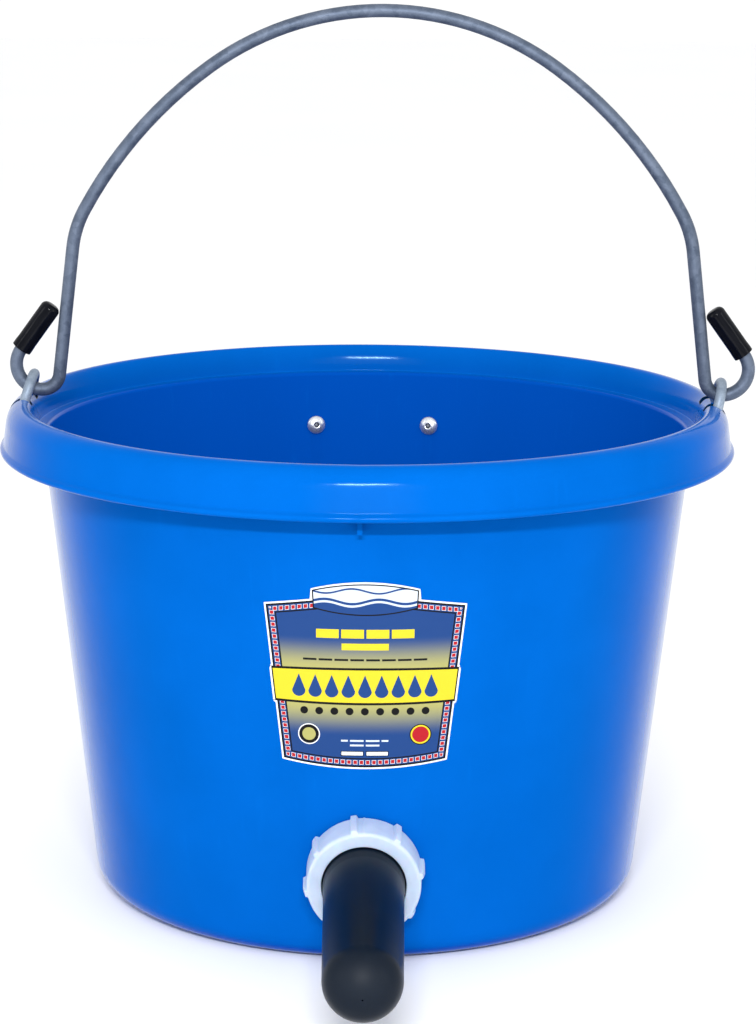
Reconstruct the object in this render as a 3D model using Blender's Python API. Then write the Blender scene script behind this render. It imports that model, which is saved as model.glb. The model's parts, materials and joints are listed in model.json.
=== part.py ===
"""Calf feeder pail: a hanging plastic pail with a wire bail and a rubber teat.

Units are metres and +Z is up. The origin is the centre of the pail's flat
base, +X runs from eye to eye of the bail, and the teat points along -Y.
"""

import math

import bmesh
import bpy
from mathutils import Matrix, Vector

MM = 0.001
GAP = 0.3 * MM                    # clearance left between touching pieces
ROUND = 60                        # segments of the large turned pieces

# Pail: an open cone with a rolled rim whose skirt hangs free of the wall.
BASE_RADIUS = 109.0 * MM          # of the wall's cone at z = 0
WALL_TAPER = math.radians(6.27)
WALL = 2.8 * MM
FLOOR = 3.0 * MM
BASE_CORNER = 11.0 * MM
LEDGE_HEIGHT = 186.5 * MM
LEDGE_RADIUS = 131.8 * MM
CREST_RADIUS = 136.5 * MM
CREST_HEIGHT = 197.4 * MM
SKIRT_RADIUS = 143.6 * MM         # where the rolled edge turns into the skirt
SKIRT_SHOULDER = 187.8 * MM
LIP_RADIUS = 146.0 * MM
LIP_HEIGHT = 178.0 * MM
BEAD = 1.4 * MM
RIM_WALL = 2.3 * MM
RIM_HOLLOW_RADIUS = 137.4 * MM    # middle of the hollow under the rim
RIM_HOLLOW_TOP = 195.0 * MM
RIM_RIB_WIDTH = 1.8 * MM
RIM_RIB_FOOT = 171.2 * MM
RIM_RIB_REACH = 134.5 * MM

# Teat port: everything on it is laid out along the wall's normal, from the
# point where that normal leaves the wall. Distances are outward along it.
PORT_HEIGHT = 38.5 * MM
PORT_TURN = math.radians(0.9)      # off the mould line of the rim, towards +X
INNER_PAD_RADIUS = 24.5 * MM
INNER_PAD_FACE = -5.7 * MM
OUTER_PAD_RADIUS = 20.5 * MM
OUTER_PAD_FACE = 0.4 * MM
STEM_RADIUS = 18.0 * MM
THREAD_PLAY = 0.4 * MM            # stands for the thread between stem and nut
STEM_END = 8.0 * MM
FLANGE_RADIUS = 23.5 * MM
FLANGE_THICKNESS = 3.5 * MM
GASKET_THICKNESS = 2.5 * MM
SEAT_THICKNESS = 3.0 * MM
INLET_RADIUS = 4.5 * MM
CHAMBER_RADIUS = 7.2 * MM
CAGE_THICKNESS = 2.0 * MM
CAGE_RADIUS = 10.7 * MM
CAGE_HOLES = 5
CAGE_HOLE_RADIUS = 1.7 * MM
CAGE_HOLE_CIRCLE = 5.8 * MM
BALL_RADIUS = 6.5 * MM
BALL_TRAVEL = 3.5 * MM
NUT_RADIUS = 21.5 * MM
NUT_DEPTH = 13.8 * MM
NUT_FACE = 3.0 * MM
NUT_HOLE_RADIUS = 15.75 * MM
NUT_RIBS = 8
NUT_RIB_WIDTH = 2.6 * MM
NUT_RIB_RISE = 1.4 * MM
NUT_RIB_START = 100.0              # degrees from +X about the port's axis
TEAT_FLANGE_RADIUS = 17.9 * MM
TEAT_FLANGE_THICKNESS = 2.9 * MM
TEAT_NECK_RADIUS = 15.3 * MM
TEAT_ROOT_RADIUS = 15.0 * MM
TEAT_TIP_RADIUS = 14.3 * MM
TEAT_WALL = 3.2 * MM
TEAT_TIP = 104.0 * MM
TEAT_OUTLET_RADIUS = 0.8 * MM

# Bail: a round rod bent from its crown down each side to a J hook.
ROD_RADIUS = 2.6 * MM
BAIL_SHIFT = 5.6 * MM             # the bail has slid this far to +X in its eyes
CROWN_HEIGHT = 350.0 * MM
SHOULDER_BENDS = (                # bend radius and turn in degrees, from the crown
    (115.6 * MM, 35.8),
    (172.5 * MM, 25.2),
    (41.5 * MM, 22.2),
)
LEG_LENGTH = 51.05 * MM
HOOK_BENDS = (
    (7.0 * MM, 83.2),
    (10.2 * MM, 126.0),
)
HOOK_TAIL = 20.4 * MM
PIVOT_HEIGHT = 200.0 * MM
CAP_RADIUS = 4.1 * MM
CAP_LENGTH = 22.0 * MM
CAP_END = 1.5 * MM

# Eyes: bent wire loops that stand in slots in the rim and hold the bail.
EYE_WIRE_RADIUS = 2.05 * MM
EYE_RADIUS = 137.4 * MM           # from the pail's axis to the eye's feet
EYE_RISE = 15.3 * MM              # from the feet to the top of the loop
EYE_HALF_WIDTH = 8.6 * MM
EYE_FOOT_LENGTH = 2.5 * MM
EYE_POSES = (                     # name, side, height of the feet, lean to +X in degrees
    ("left", -1, 191.3 * MM, 16.0),
    ("right", 1, 189.8 * MM, 12.5),
)
EYE_SLOT_WIDTH = 5.2 * MM
EYE_SLOT_LENGTH = 8.6 * MM
EYE_SLOT_FLOOR = 191.0 * MM

# Hanger: a steel saddle riveted behind the pail, with a hook for a board.
RIVET_SPACING = 50.8 * MM
RIVET_HEIGHT = 163.5 * MM
SHANK_RADIUS = 2.0 * MM
SHANK_HOLE_RADIUS = 2.3 * MM
RIVET_HEAD_RADIUS = 4.0 * MM
RIVET_HEAD_RISE = 1.8 * MM
RIVET_HEAD_STANDOFF = 0.5 * MM     # clears the wall's curve
MANDREL_RADIUS = 0.8 * MM
STEEL = 2.0 * MM
SADDLE_STANDOFF = 0.4 * MM
SADDLE_HALF_WIDTH = 37.0 * MM
SADDLE_FOOT = 149.0 * MM
SADDLE_TOP = 170.0 * MM
HOOK_HALF_WIDTH = 22.0 * MM
SHELF_HEIGHT = 172.5 * MM         # underside of the hook, where a board bears
HOOK_REACH = 170.0 * MM           # inner face of the hook's leg
HOOK_FOOT = 131.0 * MM
HOOK_FLARE = 3.0 * MM
HOOK_BEND = 6.0 * MM              # outer radius where the shelf turns down

# Label: a thin film on the front of the wall.
LABEL_TOP = 142.8 * MM
LABEL_BOTTOM = 82.0 * MM
LABEL_TOP_HALF = 37.6 * MM
LABEL_BOTTOM_HALF = 30.7 * MM
LABEL_SHOULDER_RISE = 2.4 * MM     # from the top corners up to the tab
LABEL_TAB_RISE = 6.4 * MM
LABEL_TAB_SHARE = 0.53            # of the label's half width
LABEL_BOW = 2.8 * MM
LABEL_FILM = 0.3 * MM

MATERIALS = {                     # colour, roughness, metallic
    "pail_blue": ((0.004, 0.162, 0.799), 0.32, 0.0),
    "galvanised": ((0.23, 0.27, 0.32), 0.50, 0.85),
    "bracket_steel": ((0.45, 0.47, 0.50), 0.42, 0.9),
    "rivet": ((0.62, 0.64, 0.68), 0.35, 0.9),
    "vinyl_black": ((0.008, 0.008, 0.012), 0.30, 0.0),
    "nut_white": ((0.74, 0.82, 0.94), 0.38, 0.0),
    "valve_white": ((0.80, 0.84, 0.90), 0.40, 0.0),
    "gasket_rubber": ((0.02, 0.02, 0.022), 0.7, 0.0),
    "teat_rubber": ((0.010, 0.014, 0.024), 0.52, 0.0),
    "ball": ((0.78, 0.78, 0.76), 0.25, 0.0),
    "label_film": ((0.10, 0.16, 0.40), 0.35, 0.0),
}


# ---------------------------------------------------------------- helpers

def clear_scene():
    for item in list(bpy.data.objects):
        bpy.data.objects.remove(item, do_unlink=True)


def material(name):
    made = bpy.data.materials.get(name)
    if made:
        return made
    colour, roughness, metallic = MATERIALS[name]
    made = bpy.data.materials.new(name)
    made.use_nodes = True
    shader = made.node_tree.nodes["Principled BSDF"]
    shader.inputs["Base Color"].default_value = (*colour, 1.0)
    shader.inputs["Roughness"].default_value = roughness
    shader.inputs["Metallic"].default_value = metallic
    return made


def add_object(name, bm, finish, parent=None):
    """Turn a bmesh into a named, smooth-shaded object under an optional empty."""
    bmesh.ops.recalc_face_normals(bm, faces=bm.faces)
    mesh = bpy.data.meshes.new(name)
    bm.to_mesh(mesh)
    bm.free()
    mesh.shade_smooth()
    mesh.set_sharp_from_angle(angle=math.radians(35))
    mesh.materials.append(material(finish))
    made = bpy.data.objects.new(name, mesh)
    bpy.context.collection.objects.link(made)
    made.parent = parent
    return made


def add_empty(name, location, rotation=(0.0, 0.0, 0.0)):
    made = bpy.data.objects.new(name, None)
    made.location = location
    made.rotation_euler = rotation
    bpy.context.collection.objects.link(made)
    return made


def combine(target, tool, operation):
    """Cut a guide object out of the target, or join it on, with a Boolean."""
    tool.hide_render = True
    tool.display_type = "WIRE"
    step = target.modifiers.new(tool.name, "BOOLEAN")
    step.operation = operation
    step.object = tool
    step.solver = "EXACT"


def arc(centre, radii, start, end, steps):
    """Points (radius, height) on an elliptical arc, angles in degrees."""
    points = []
    for index in range(steps + 1):
        angle = math.radians(start + (end - start) * index / steps)
        points.append((centre[0] + radii[0] * math.cos(angle),
                       centre[1] + radii[1] * math.sin(angle)))
    return points


def turned(outline, segments=ROUND):
    """Turn a closed outline of (radius, height) points about Z.

    A point on the axis becomes a single vertex. The outline may touch the axis
    only at its first and last points.
    """
    bm = bmesh.new()
    rings = []
    for radius, height in outline:
        if radius < 1e-7:
            rings.append([bm.verts.new((0.0, 0.0, height))] * segments)
            continue
        ring = []
        for index in range(segments):
            angle = 2.0 * math.pi * index / segments
            ring.append(bm.verts.new((radius * math.cos(angle), radius * math.sin(angle), height)))
        rings.append(ring)
    on_axis = outline[0][0] < 1e-7 and outline[-1][0] < 1e-7
    pairs = list(zip(rings, rings[1:]))
    if not on_axis:
        pairs.append((rings[-1], rings[0]))
    for lower, upper in pairs:
        for index in range(segments):
            after = (index + 1) % segments
            corners = [lower[index], lower[after], upper[after], upper[index]]
            bm.faces.new(list(dict.fromkeys(corners)))
    return bm


def swept_rod(path, radius, sides):
    """A round rod with flat ends along a list of points."""
    bm = bmesh.new()
    rings = []
    across = None
    for index, point in enumerate(path):
        before = path[max(index - 1, 0)]
        after = path[min(index + 1, len(path) - 1)]
        forward = (after - before).normalized()
        if across is None:
            across = forward.orthogonal().normalized()
        across = (across - forward * across.dot(forward)).normalized()
        other = forward.cross(across)
        ring = []
        for side in range(sides):
            angle = 2.0 * math.pi * side / sides
            offset = across * math.cos(angle) + other * math.sin(angle)
            ring.append(bm.verts.new(point + offset * radius))
        rings.append(ring)
    for lower, upper in zip(rings, rings[1:]):
        for side in range(sides):
            after = (side + 1) % sides
            bm.faces.new((lower[side], lower[after], upper[after], upper[side]))
    bm.faces.new(list(reversed(rings[0])))
    bm.faces.new(rings[-1])
    return bm


def bend(path, heading, radius, turn, steps):
    """Carry a flat X-Z path round a bend; a positive turn is towards +Z."""
    step = turn / steps
    for _ in range(steps):
        heading += step / 2.0
        chord = 2.0 * radius * math.sin(math.radians(abs(step)) / 2.0)
        path.append(path[-1] + chord * direction(heading))
        heading += step / 2.0
    return heading


def direction(heading):
    return Vector((math.cos(math.radians(heading)), 0.0, math.sin(math.radians(heading))))


def wall_radius(height):
    """Outer radius of the pail's cone at a height."""
    return BASE_RADIUS + height * math.tan(WALL_TAPER)


def block(name, low, high, parent=None):
    """A box between two corners, for cutting."""
    bm = bmesh.new()
    bmesh.ops.create_cube(bm, size=1.0)
    size = Vector(high) - Vector(low)
    centre = (Vector(high) + Vector(low)) / 2.0
    bm.transform(Matrix.Translation(centre) @ Matrix.Diagonal((*size, 1.0)))
    return add_object(name, bm, "pail_blue", parent)


# ------------------------------------------------------------------- pail

def pail_outline():
    """Half section of the pail, from the base's centre round to the floor's."""
    wall_run = WALL / math.cos(WALL_TAPER)
    taper = math.degrees(WALL_TAPER)
    outline = [(0.0, 0.0)]
    corner_centre = (wall_radius(BASE_CORNER) - BASE_CORNER / math.cos(WALL_TAPER), BASE_CORNER)
    outline += arc(corner_centre, (BASE_CORNER, BASE_CORNER), -90, -taper, 4)
    under_ledge = LEDGE_HEIGHT - WALL
    outline += [(wall_radius(under_ledge - 4.0 * MM), under_ledge - 4.0 * MM)]
    outline += [(wall_radius(under_ledge) + 1.0 * MM, under_ledge)]
    outline += [(LEDGE_RADIUS + 1.8 * MM, under_ledge)]
    outline += arc((RIM_HOLLOW_RADIUS, LEDGE_HEIGHT),
                   (3.6 * MM, RIM_HOLLOW_TOP - LEDGE_HEIGHT), 175, 90, 3)
    hollow_shoulder = SKIRT_SHOULDER - 1.2 * MM
    hollow_reach = SKIRT_RADIUS - RIM_WALL - RIM_HOLLOW_RADIUS
    outline += arc((RIM_HOLLOW_RADIUS, hollow_shoulder),
                   (hollow_reach, RIM_HOLLOW_TOP - hollow_shoulder), 65, 0, 3)
    outline += [(LIP_RADIUS - RIM_WALL - BEAD, LIP_HEIGHT + 3.0 * MM)]
    outline += [(LIP_RADIUS - RIM_WALL - 0.6 * MM, LIP_HEIGHT)]
    outline += arc((LIP_RADIUS - BEAD, LIP_HEIGHT + BEAD), (BEAD, BEAD), -90, 60, 3)
    outline += [(LIP_RADIUS - BEAD, LIP_HEIGHT + 3.3 * MM)]
    outline += arc((CREST_RADIUS, SKIRT_SHOULDER),
                   (SKIRT_RADIUS - CREST_RADIUS, CREST_HEIGHT - SKIRT_SHOULDER), 8, 90, 6)
    outline += arc((CREST_RADIUS, LEDGE_HEIGHT + 1.0 * MM),
                   (CREST_RADIUS - LEDGE_RADIUS, CREST_HEIGHT - LEDGE_HEIGHT - 1.0 * MM), 108, 180, 4)
    outline += [(LEDGE_RADIUS, LEDGE_HEIGHT)]
    inner_top = LEDGE_HEIGHT
    outline += [(wall_radius(inner_top) - wall_run + 1.0 * MM, inner_top)]
    outline += [(wall_radius(inner_top - 3.0 * MM) - wall_run, inner_top - 3.0 * MM)]
    inner_corner = BASE_CORNER - WALL
    inner_height = FLOOR + inner_corner
    inner_centre = (wall_radius(inner_height) - wall_run - inner_corner / math.cos(WALL_TAPER),
                    inner_height)
    outline += arc(inner_centre, (inner_corner, inner_corner), -taper, -90, 3)
    outline += [(0.0, FLOOR)]
    return outline


def rim_rib():
    """The stiffening rib under the front of the rim, as a guide to join on."""
    bm = bmesh.new()
    half = RIM_RIB_WIDTH / 2.0
    top = LEDGE_HEIGHT - WALL + 1.0 * MM
    inside = 1.4 * MM
    corners = [
        (wall_radius(RIM_RIB_FOOT) - inside, RIM_RIB_FOOT),
        (RIM_RIB_REACH, RIM_RIB_FOOT),
        (RIM_RIB_REACH, top),
        (wall_radius(top) - inside, top),
    ]
    near = [bm.verts.new((-half, -reach, height)) for reach, height in corners]
    far = [bm.verts.new((half, -reach, height)) for reach, height in corners]
    bm.faces.new(near)
    bm.faces.new(list(reversed(far)))
    for index in range(len(corners)):
        after = (index + 1) % len(corners)
        bm.faces.new((near[index], far[index], far[after], near[after]))
    return add_object("rim_rib_guide", bm, "pail_blue")


def disc_guide(name, radius, low, high, parent, segments=48):
    outline = [(0.0, low), (radius, low), (radius, high), (0.0, high)]
    return add_object(name, turned(outline, segments), "pail_blue", parent)


def eye_slot_guides():
    """Guides for the slots in the rim that the eyes' legs rock in."""
    guides = []
    for side in (-1, 1):
        for row in (-1, 1):
            low = (side * EYE_RADIUS - EYE_SLOT_LENGTH / 2.0,
                   row * EYE_HALF_WIDTH - EYE_SLOT_WIDTH / 2.0,
                   EYE_SLOT_FLOOR)
            high = (side * EYE_RADIUS + EYE_SLOT_LENGTH / 2.0,
                    row * EYE_HALF_WIDTH + EYE_SLOT_WIDTH / 2.0,
                    CREST_HEIGHT + 3.0 * MM)
            guides.append(block(f"eye_slot_guide_{side}_{row}", low, high))
    return guides


def build_pail(port, rivet_axes):
    pail = add_object("pail", turned(pail_outline()), "pail_blue")
    combine(pail, rim_rib(), "UNION")
    combine(pail, disc_guide("inner_pad_guide", INNER_PAD_RADIUS, INNER_PAD_FACE,
                             INNER_PAD_FACE + 3.0 * MM, port), "UNION")
    combine(pail, disc_guide("outer_pad_guide", OUTER_PAD_RADIUS, -1.9 * MM,
                             OUTER_PAD_FACE, port), "UNION")
    hole_radius = STEM_RADIUS + THREAD_PLAY
    combine(pail, disc_guide("port_guide", hole_radius, -9.0 * MM, 4.0 * MM, port), "DIFFERENCE")
    for guide in eye_slot_guides():
        combine(pail, guide, "DIFFERENCE")
    for index, axis in enumerate(rivet_axes):
        guide = disc_guide(f"rivet_hole_guide_{index}", SHANK_HOLE_RADIUS,
                           -6.0 * MM, 6.0 * MM, axis, 16)
        combine(pail, guide, "DIFFERENCE")
    return pail


# ------------------------------------------------------------------- bail

def bail_half_path():
    """The bail's +X half, from the crown to the end of its hook."""
    path = [Vector((0.0, 0.0, CROWN_HEIGHT))]
    heading = 0.0
    for radius, turn in SHOULDER_BENDS:
        heading = bend(path, heading, radius, -turn, max(4, round(turn / 5.5)))
    path.append(path[-1] + LEG_LENGTH * direction(heading))
    for radius, turn in HOOK_BENDS:
        heading = bend(path, heading, radius, turn, round(turn / 13.0))
    path.append(path[-1] + HOOK_TAIL * direction(heading))
    return path, heading


def mirrored(point):
    return Vector((-point.x, point.y, point.z))


def build_bail(pivot):
    half, _ = bail_half_path()
    path = [mirrored(point) for point in reversed(half[1:])] + half
    local = [point - Vector((0.0, 0.0, PIVOT_HEIGHT)) for point in path]
    return add_object("bail", swept_rod(local, ROD_RADIUS, 10), "galvanised", pivot)


def cap_outline():
    """A dipped vinyl cap with its mouth at height 0 and its bore open below."""
    bore = ROD_RADIUS + GAP
    depth = CAP_LENGTH - CAP_END
    outline = [(0.0, depth), (bore, depth), (bore, 0.0), (CAP_RADIUS, 0.0)]
    outline += arc((0.0, CAP_LENGTH - 3.0 * MM), (CAP_RADIUS, 3.0 * MM), 0, 90, 4)
    return outline


def build_caps(pivot):
    """Both vinyl caps, pushed over the ends of the hooks."""
    half, heading = bail_half_path()
    tail = direction(heading)
    mouth = half[-1] - tail * (CAP_LENGTH - CAP_END - GAP)
    for side, label in ((-1, "left"), (1, "right")):
        cap = add_object(f"bail_cap_{label}", turned(cap_outline(), 16), "vinyl_black", pivot)
        place = Vector((side * mouth.x, 0.0, mouth.z - PIVOT_HEIGHT))
        aim = Vector((side * tail.x, 0.0, tail.z))
        turn = Vector((0.0, 0.0, 1.0)).rotation_difference(aim)
        cap.location = place
        cap.rotation_mode = "QUATERNION"
        cap.rotation_quaternion = turn


def eye_path():
    """One eye, upright: a foot, a leg, the loop's round top and back down."""
    half = EYE_HALF_WIDTH
    knee = 3.0 * MM
    points = [(-half - knee - EYE_FOOT_LENGTH, 0.0)]
    points += arc((-half - knee, knee), (knee, knee), -90, 0, 3)
    points += arc((0.0, EYE_RISE - half), (half, half), 180, 0, 8)
    points += arc((half + knee, knee), (knee, knee), 180, 270, 3)
    points += [(half + knee + EYE_FOOT_LENGTH, 0.0)]
    return [Vector((0.0, across, rise)) for across, rise in points]


def build_eyes():
    for label, side, height, lean in EYE_POSES:
        foot = (side * EYE_RADIUS, 0.0, height)
        pivot = add_empty(f"eye_pivot_{label}", foot, (0.0, math.radians(lean), 0.0))
        add_object(f"bail_eye_{label}", swept_rod(eye_path(), EYE_WIRE_RADIUS, 10),
                   "galvanised", pivot)


# ----------------------------------------------------------------- hanger

def hanger_rows():
    """The hanger's section, from the saddle's foot up and over to the hook's foot.

    A row is (height, reach) on the steel's face that is inside the saddle, on
    top of the shelf and outside the leg. A reach of None hugs the pail's wall.
    """
    rows = []
    saddle_steps = 4
    for index in range(saddle_steps + 1):
        height = SADDLE_FOOT + (SADDLE_TOP - SADDLE_FOOT) * index / saddle_steps
        rows.append((height, None))
    wall = wall_radius(SADDLE_TOP) + SADDLE_STANDOFF
    shelf_top = SHELF_HEIGHT + STEEL
    leg_face = HOOK_REACH + STEEL
    corner = shelf_top - SADDLE_TOP
    rows += [(SADDLE_TOP + corner * 0.7, wall + corner * 0.3), (shelf_top, wall + corner)]
    rows += [(height, reach) for reach, height in
             arc((leg_face - HOOK_BEND, shelf_top - HOOK_BEND), (HOOK_BEND, HOOK_BEND), 90, 0, 4)]
    rows += [(HOOK_FOOT + 8.0 * MM, leg_face), (HOOK_FOOT, leg_face + HOOK_FLARE)]
    return rows, saddle_steps


def build_hanger(rivet_axes):
    """The saddle and hook as one bent sheet, thickened away from the wall."""
    rows, saddle_steps = hanger_rows()
    wing = [SADDLE_HALF_WIDTH, (SADDLE_HALF_WIDTH + HOOK_HALF_WIDTH) / 2.0]
    hook = [HOOK_HALF_WIDTH * share for share in (1.0, 0.5, 0.0)]
    columns = [-across for across in wing + hook[:-1]] + list(reversed(wing + hook))
    bm = bmesh.new()
    grid = []
    for height, reach in rows:
        line = []
        for across in columns:
            wall = wall_radius(min(height, SADDLE_TOP)) + SADDLE_STANDOFF
            hug = math.sqrt(wall * wall - across * across)
            depth = hug if reach is None else max(hug, reach)
            line.append(bm.verts.new((across, depth, height)))
        grid.append(line)
    last = len(columns) - 2
    for row in range(len(rows) - 1):
        for column in range(len(columns) - 1):
            is_wing = column < 2 or column > last - 2
            if is_wing and row >= saddle_steps:
                continue
            bm.faces.new((grid[row][column], grid[row][column + 1],
                          grid[row + 1][column + 1], grid[row + 1][column]))
    loose = [vertex for vertex in bm.verts if not vertex.link_faces]
    bmesh.ops.delete(bm, geom=loose, context="VERTS")
    hanger = add_object("hanger_bracket", bm, "bracket_steel")
    outward = sum((face.normal.y for face in hanger.data.polygons if face.center.z < SADDLE_TOP
                   and face.center.y < HOOK_REACH - 10.0 * MM), 0.0)
    thicken = hanger.modifiers.new("steel", "SOLIDIFY")
    thicken.thickness = STEEL
    thicken.offset = 1.0 if outward > 0.0 else -1.0
    thicken.use_even_offset = True
    for index, axis in enumerate(rivet_axes):
        guide = disc_guide(f"hanger_hole_guide_{index}", SHANK_HOLE_RADIUS,
                           -6.0 * MM, 8.0 * MM, axis, 16)
        combine(hanger, guide, "DIFFERENCE")
    return hanger


def rivet_outline():
    """A set blind rivet. Height 0 is the wall's outer face, + is outward."""
    head_face = -WALL - RIVET_HEAD_STANDOFF
    bore = MANDREL_RADIUS + GAP
    tail_start = SADDLE_STANDOFF + STEEL + 0.4 * MM
    tail_end = tail_start + 2.4 * MM
    outline = [(bore, head_face - RIVET_HEAD_RISE * 0.92)]
    outline += arc((0.0, head_face), (RIVET_HEAD_RADIUS, RIVET_HEAD_RISE), -60, 0, 4)
    outline += [(SHANK_RADIUS, head_face), (SHANK_RADIUS, tail_start)]
    outline += [(SHANK_RADIUS * 1.45, tail_start + 0.3 * MM)]
    outline += [(SHANK_RADIUS * 1.35, tail_end - 0.4 * MM), (SHANK_RADIUS, tail_end)]
    outline += [(bore, tail_end)]
    return outline


def mandrel_outline():
    """The broken-off mandrel, its round head against the rivet's tail."""
    head_face = -WALL - RIVET_HEAD_STANDOFF - RIVET_HEAD_RISE
    tail_end = SADDLE_STANDOFF + STEEL + 2.8 * MM
    outline = [(0.0, head_face + 0.2 * MM), (MANDREL_RADIUS, head_face + 0.2 * MM)]
    outline += [(MANDREL_RADIUS, tail_end + GAP), (1.5 * MM, tail_end + GAP)]
    outline += [(1.5 * MM, tail_end + 0.8 * MM), (0.8 * MM, tail_end + 1.5 * MM)]
    outline += [(0.0, tail_end + 1.5 * MM)]
    return outline


def rivet_axis_empties():
    """Empties on the wall at the two rivets, +Z along the wall's normal."""
    empties = []
    for side, label in ((-1, "left"), (1, "right")):
        radius = wall_radius(RIVET_HEIGHT)
        across = side * RIVET_SPACING / 2.0
        behind = math.sqrt(radius * radius - across * across)
        normal = Vector((across, behind, -radius * math.tan(WALL_TAPER))).normalized()
        empty = add_empty(f"rivet_axis_{label}", (across, behind, RIVET_HEIGHT))
        empty.rotation_mode = "QUATERNION"
        empty.rotation_quaternion = Vector((0.0, 0.0, 1.0)).rotation_difference(normal)
        empties.append(empty)
    return empties


def build_rivets(rivet_axes):
    for axis, label in zip(rivet_axes, ("left", "right")):
        add_object(f"rivet_{label}", turned(rivet_outline(), 16), "rivet", axis)
        add_object(f"rivet_mandrel_{label}", turned(mandrel_outline(), 12), "galvanised", axis)


# -------------------------------------------------------------- teat port

def port_empty():
    """The port's axis, with +Z pointing out of the pail."""
    radius = wall_radius(PORT_HEIGHT)
    location = (radius * math.sin(PORT_TURN), -radius * math.cos(PORT_TURN), PORT_HEIGHT)
    return add_empty("port_axis", location, (math.radians(90.0) + WALL_TAPER, 0.0, PORT_TURN))


def flange_faces():
    """Distances of the valve flange's outer and inner faces along the port."""
    outer = INNER_PAD_FACE - GAP - GASKET_THICKNESS - GAP
    return outer, outer - FLANGE_THICKNESS


def build_valve_body(port):
    """Flanged stem, with the ball's seat at its inner end."""
    outer, inner = flange_faces()
    seat = inner + SEAT_THICKNESS
    chamber_end = cage_face() - GAP
    counterbore = CAGE_RADIUS + GAP
    chamfer = 0.8 * MM
    outline = [
        (INLET_RADIUS, inner),
        (FLANGE_RADIUS - chamfer, inner),
        (FLANGE_RADIUS, inner + chamfer),
        (FLANGE_RADIUS, outer),
        (STEM_RADIUS, outer),
        (STEM_RADIUS, STEM_END),
        (counterbore, STEM_END),
        (counterbore, chamber_end),
        (CHAMBER_RADIUS, chamber_end),
        (CHAMBER_RADIUS, seat),
        (INLET_RADIUS, seat),
    ]
    return add_object("valve_body", turned(outline, 36), "valve_white", port)


def ball_height():
    """Where the ball's centre rests when it closes the inlet."""
    _, inner = flange_faces()
    seat = inner + SEAT_THICKNESS
    reach = BALL_RADIUS + GAP
    return seat + math.sqrt(reach * reach - INLET_RADIUS * INLET_RADIUS)


def cage_face():
    """Inner face of the cage, one ball's travel beyond the seated ball."""
    return ball_height() + BALL_TRAVEL + BALL_RADIUS


def build_gasket(port):
    outer = INNER_PAD_FACE - GAP
    inner = outer - GASKET_THICKNESS
    bore = STEM_RADIUS + THREAD_PLAY
    outline = [(bore, inner), (FLANGE_RADIUS - 0.5 * MM, inner),
               (FLANGE_RADIUS - 0.5 * MM, outer), (bore, outer)]
    return add_object("valve_gasket", turned(outline, 36), "gasket_rubber", port)


def build_ball(port):
    bm = bmesh.new()
    bmesh.ops.create_uvsphere(bm, u_segments=16, v_segments=10, radius=BALL_RADIUS)
    ball = add_object("valve_ball", bm, "ball", port)
    ball.location = (0.0, 0.0, ball_height())
    return ball


def build_cage(port):
    """A pressed-in disc whose ring of holes lets milk past the stopped ball."""
    face = cage_face()
    cage = add_object("ball_cage", turned([(0.0, face), (CAGE_RADIUS, face),
                                           (CAGE_RADIUS, face + CAGE_THICKNESS),
                                           (0.0, face + CAGE_THICKNESS)], 36),
                      "valve_white", port)
    for index in range(CAGE_HOLES):
        angle = 2.0 * math.pi * index / CAGE_HOLES
        guide = disc_guide(f"cage_hole_guide_{index}", CAGE_HOLE_RADIUS, face - 1.0 * MM,
                           face + CAGE_THICKNESS + 1.0 * MM, port, 12)
        guide.location = (CAGE_HOLE_CIRCLE * math.cos(angle),
                          CAGE_HOLE_CIRCLE * math.sin(angle), 0.0)
        combine(cage, guide, "DIFFERENCE")
    return cage


def nut_end():
    return OUTER_PAD_FACE + GAP + NUT_DEPTH


def build_nut(port):
    """Cap nut with grip ribs; it traps the teat's flange against the stem."""
    back = OUTER_PAD_FACE + GAP
    front = nut_end()
    bore = STEM_RADIUS + THREAD_PLAY
    edge = 1.2 * MM
    outline = [
        (bore, back),
        (NUT_RADIUS, back),
        (NUT_RADIUS - 0.3 * MM, front - edge),
        (NUT_RADIUS - 0.3 * MM - edge, front),
        (NUT_HOLE_RADIUS, front),
        (NUT_HOLE_RADIUS, front - NUT_FACE),
        (bore, front - NUT_FACE),
    ]
    nut = add_object("nipple_nut", turned(outline, 48), "nut_white", port)
    for index in range(NUT_RIBS):
        angle = math.radians(NUT_RIB_START) + 2.0 * math.pi * index / NUT_RIBS
        rib = block(f"nut_rib_guide_{index}",
                    (NUT_RADIUS - 1.5 * MM, -NUT_RIB_WIDTH / 2.0, back),
                    (NUT_RADIUS + NUT_RIB_RISE, NUT_RIB_WIDTH / 2.0, front - 1.0 * MM), port)
        rib.rotation_euler = (0.0, 0.0, angle)
        combine(nut, rib, "UNION")
    return nut


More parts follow.
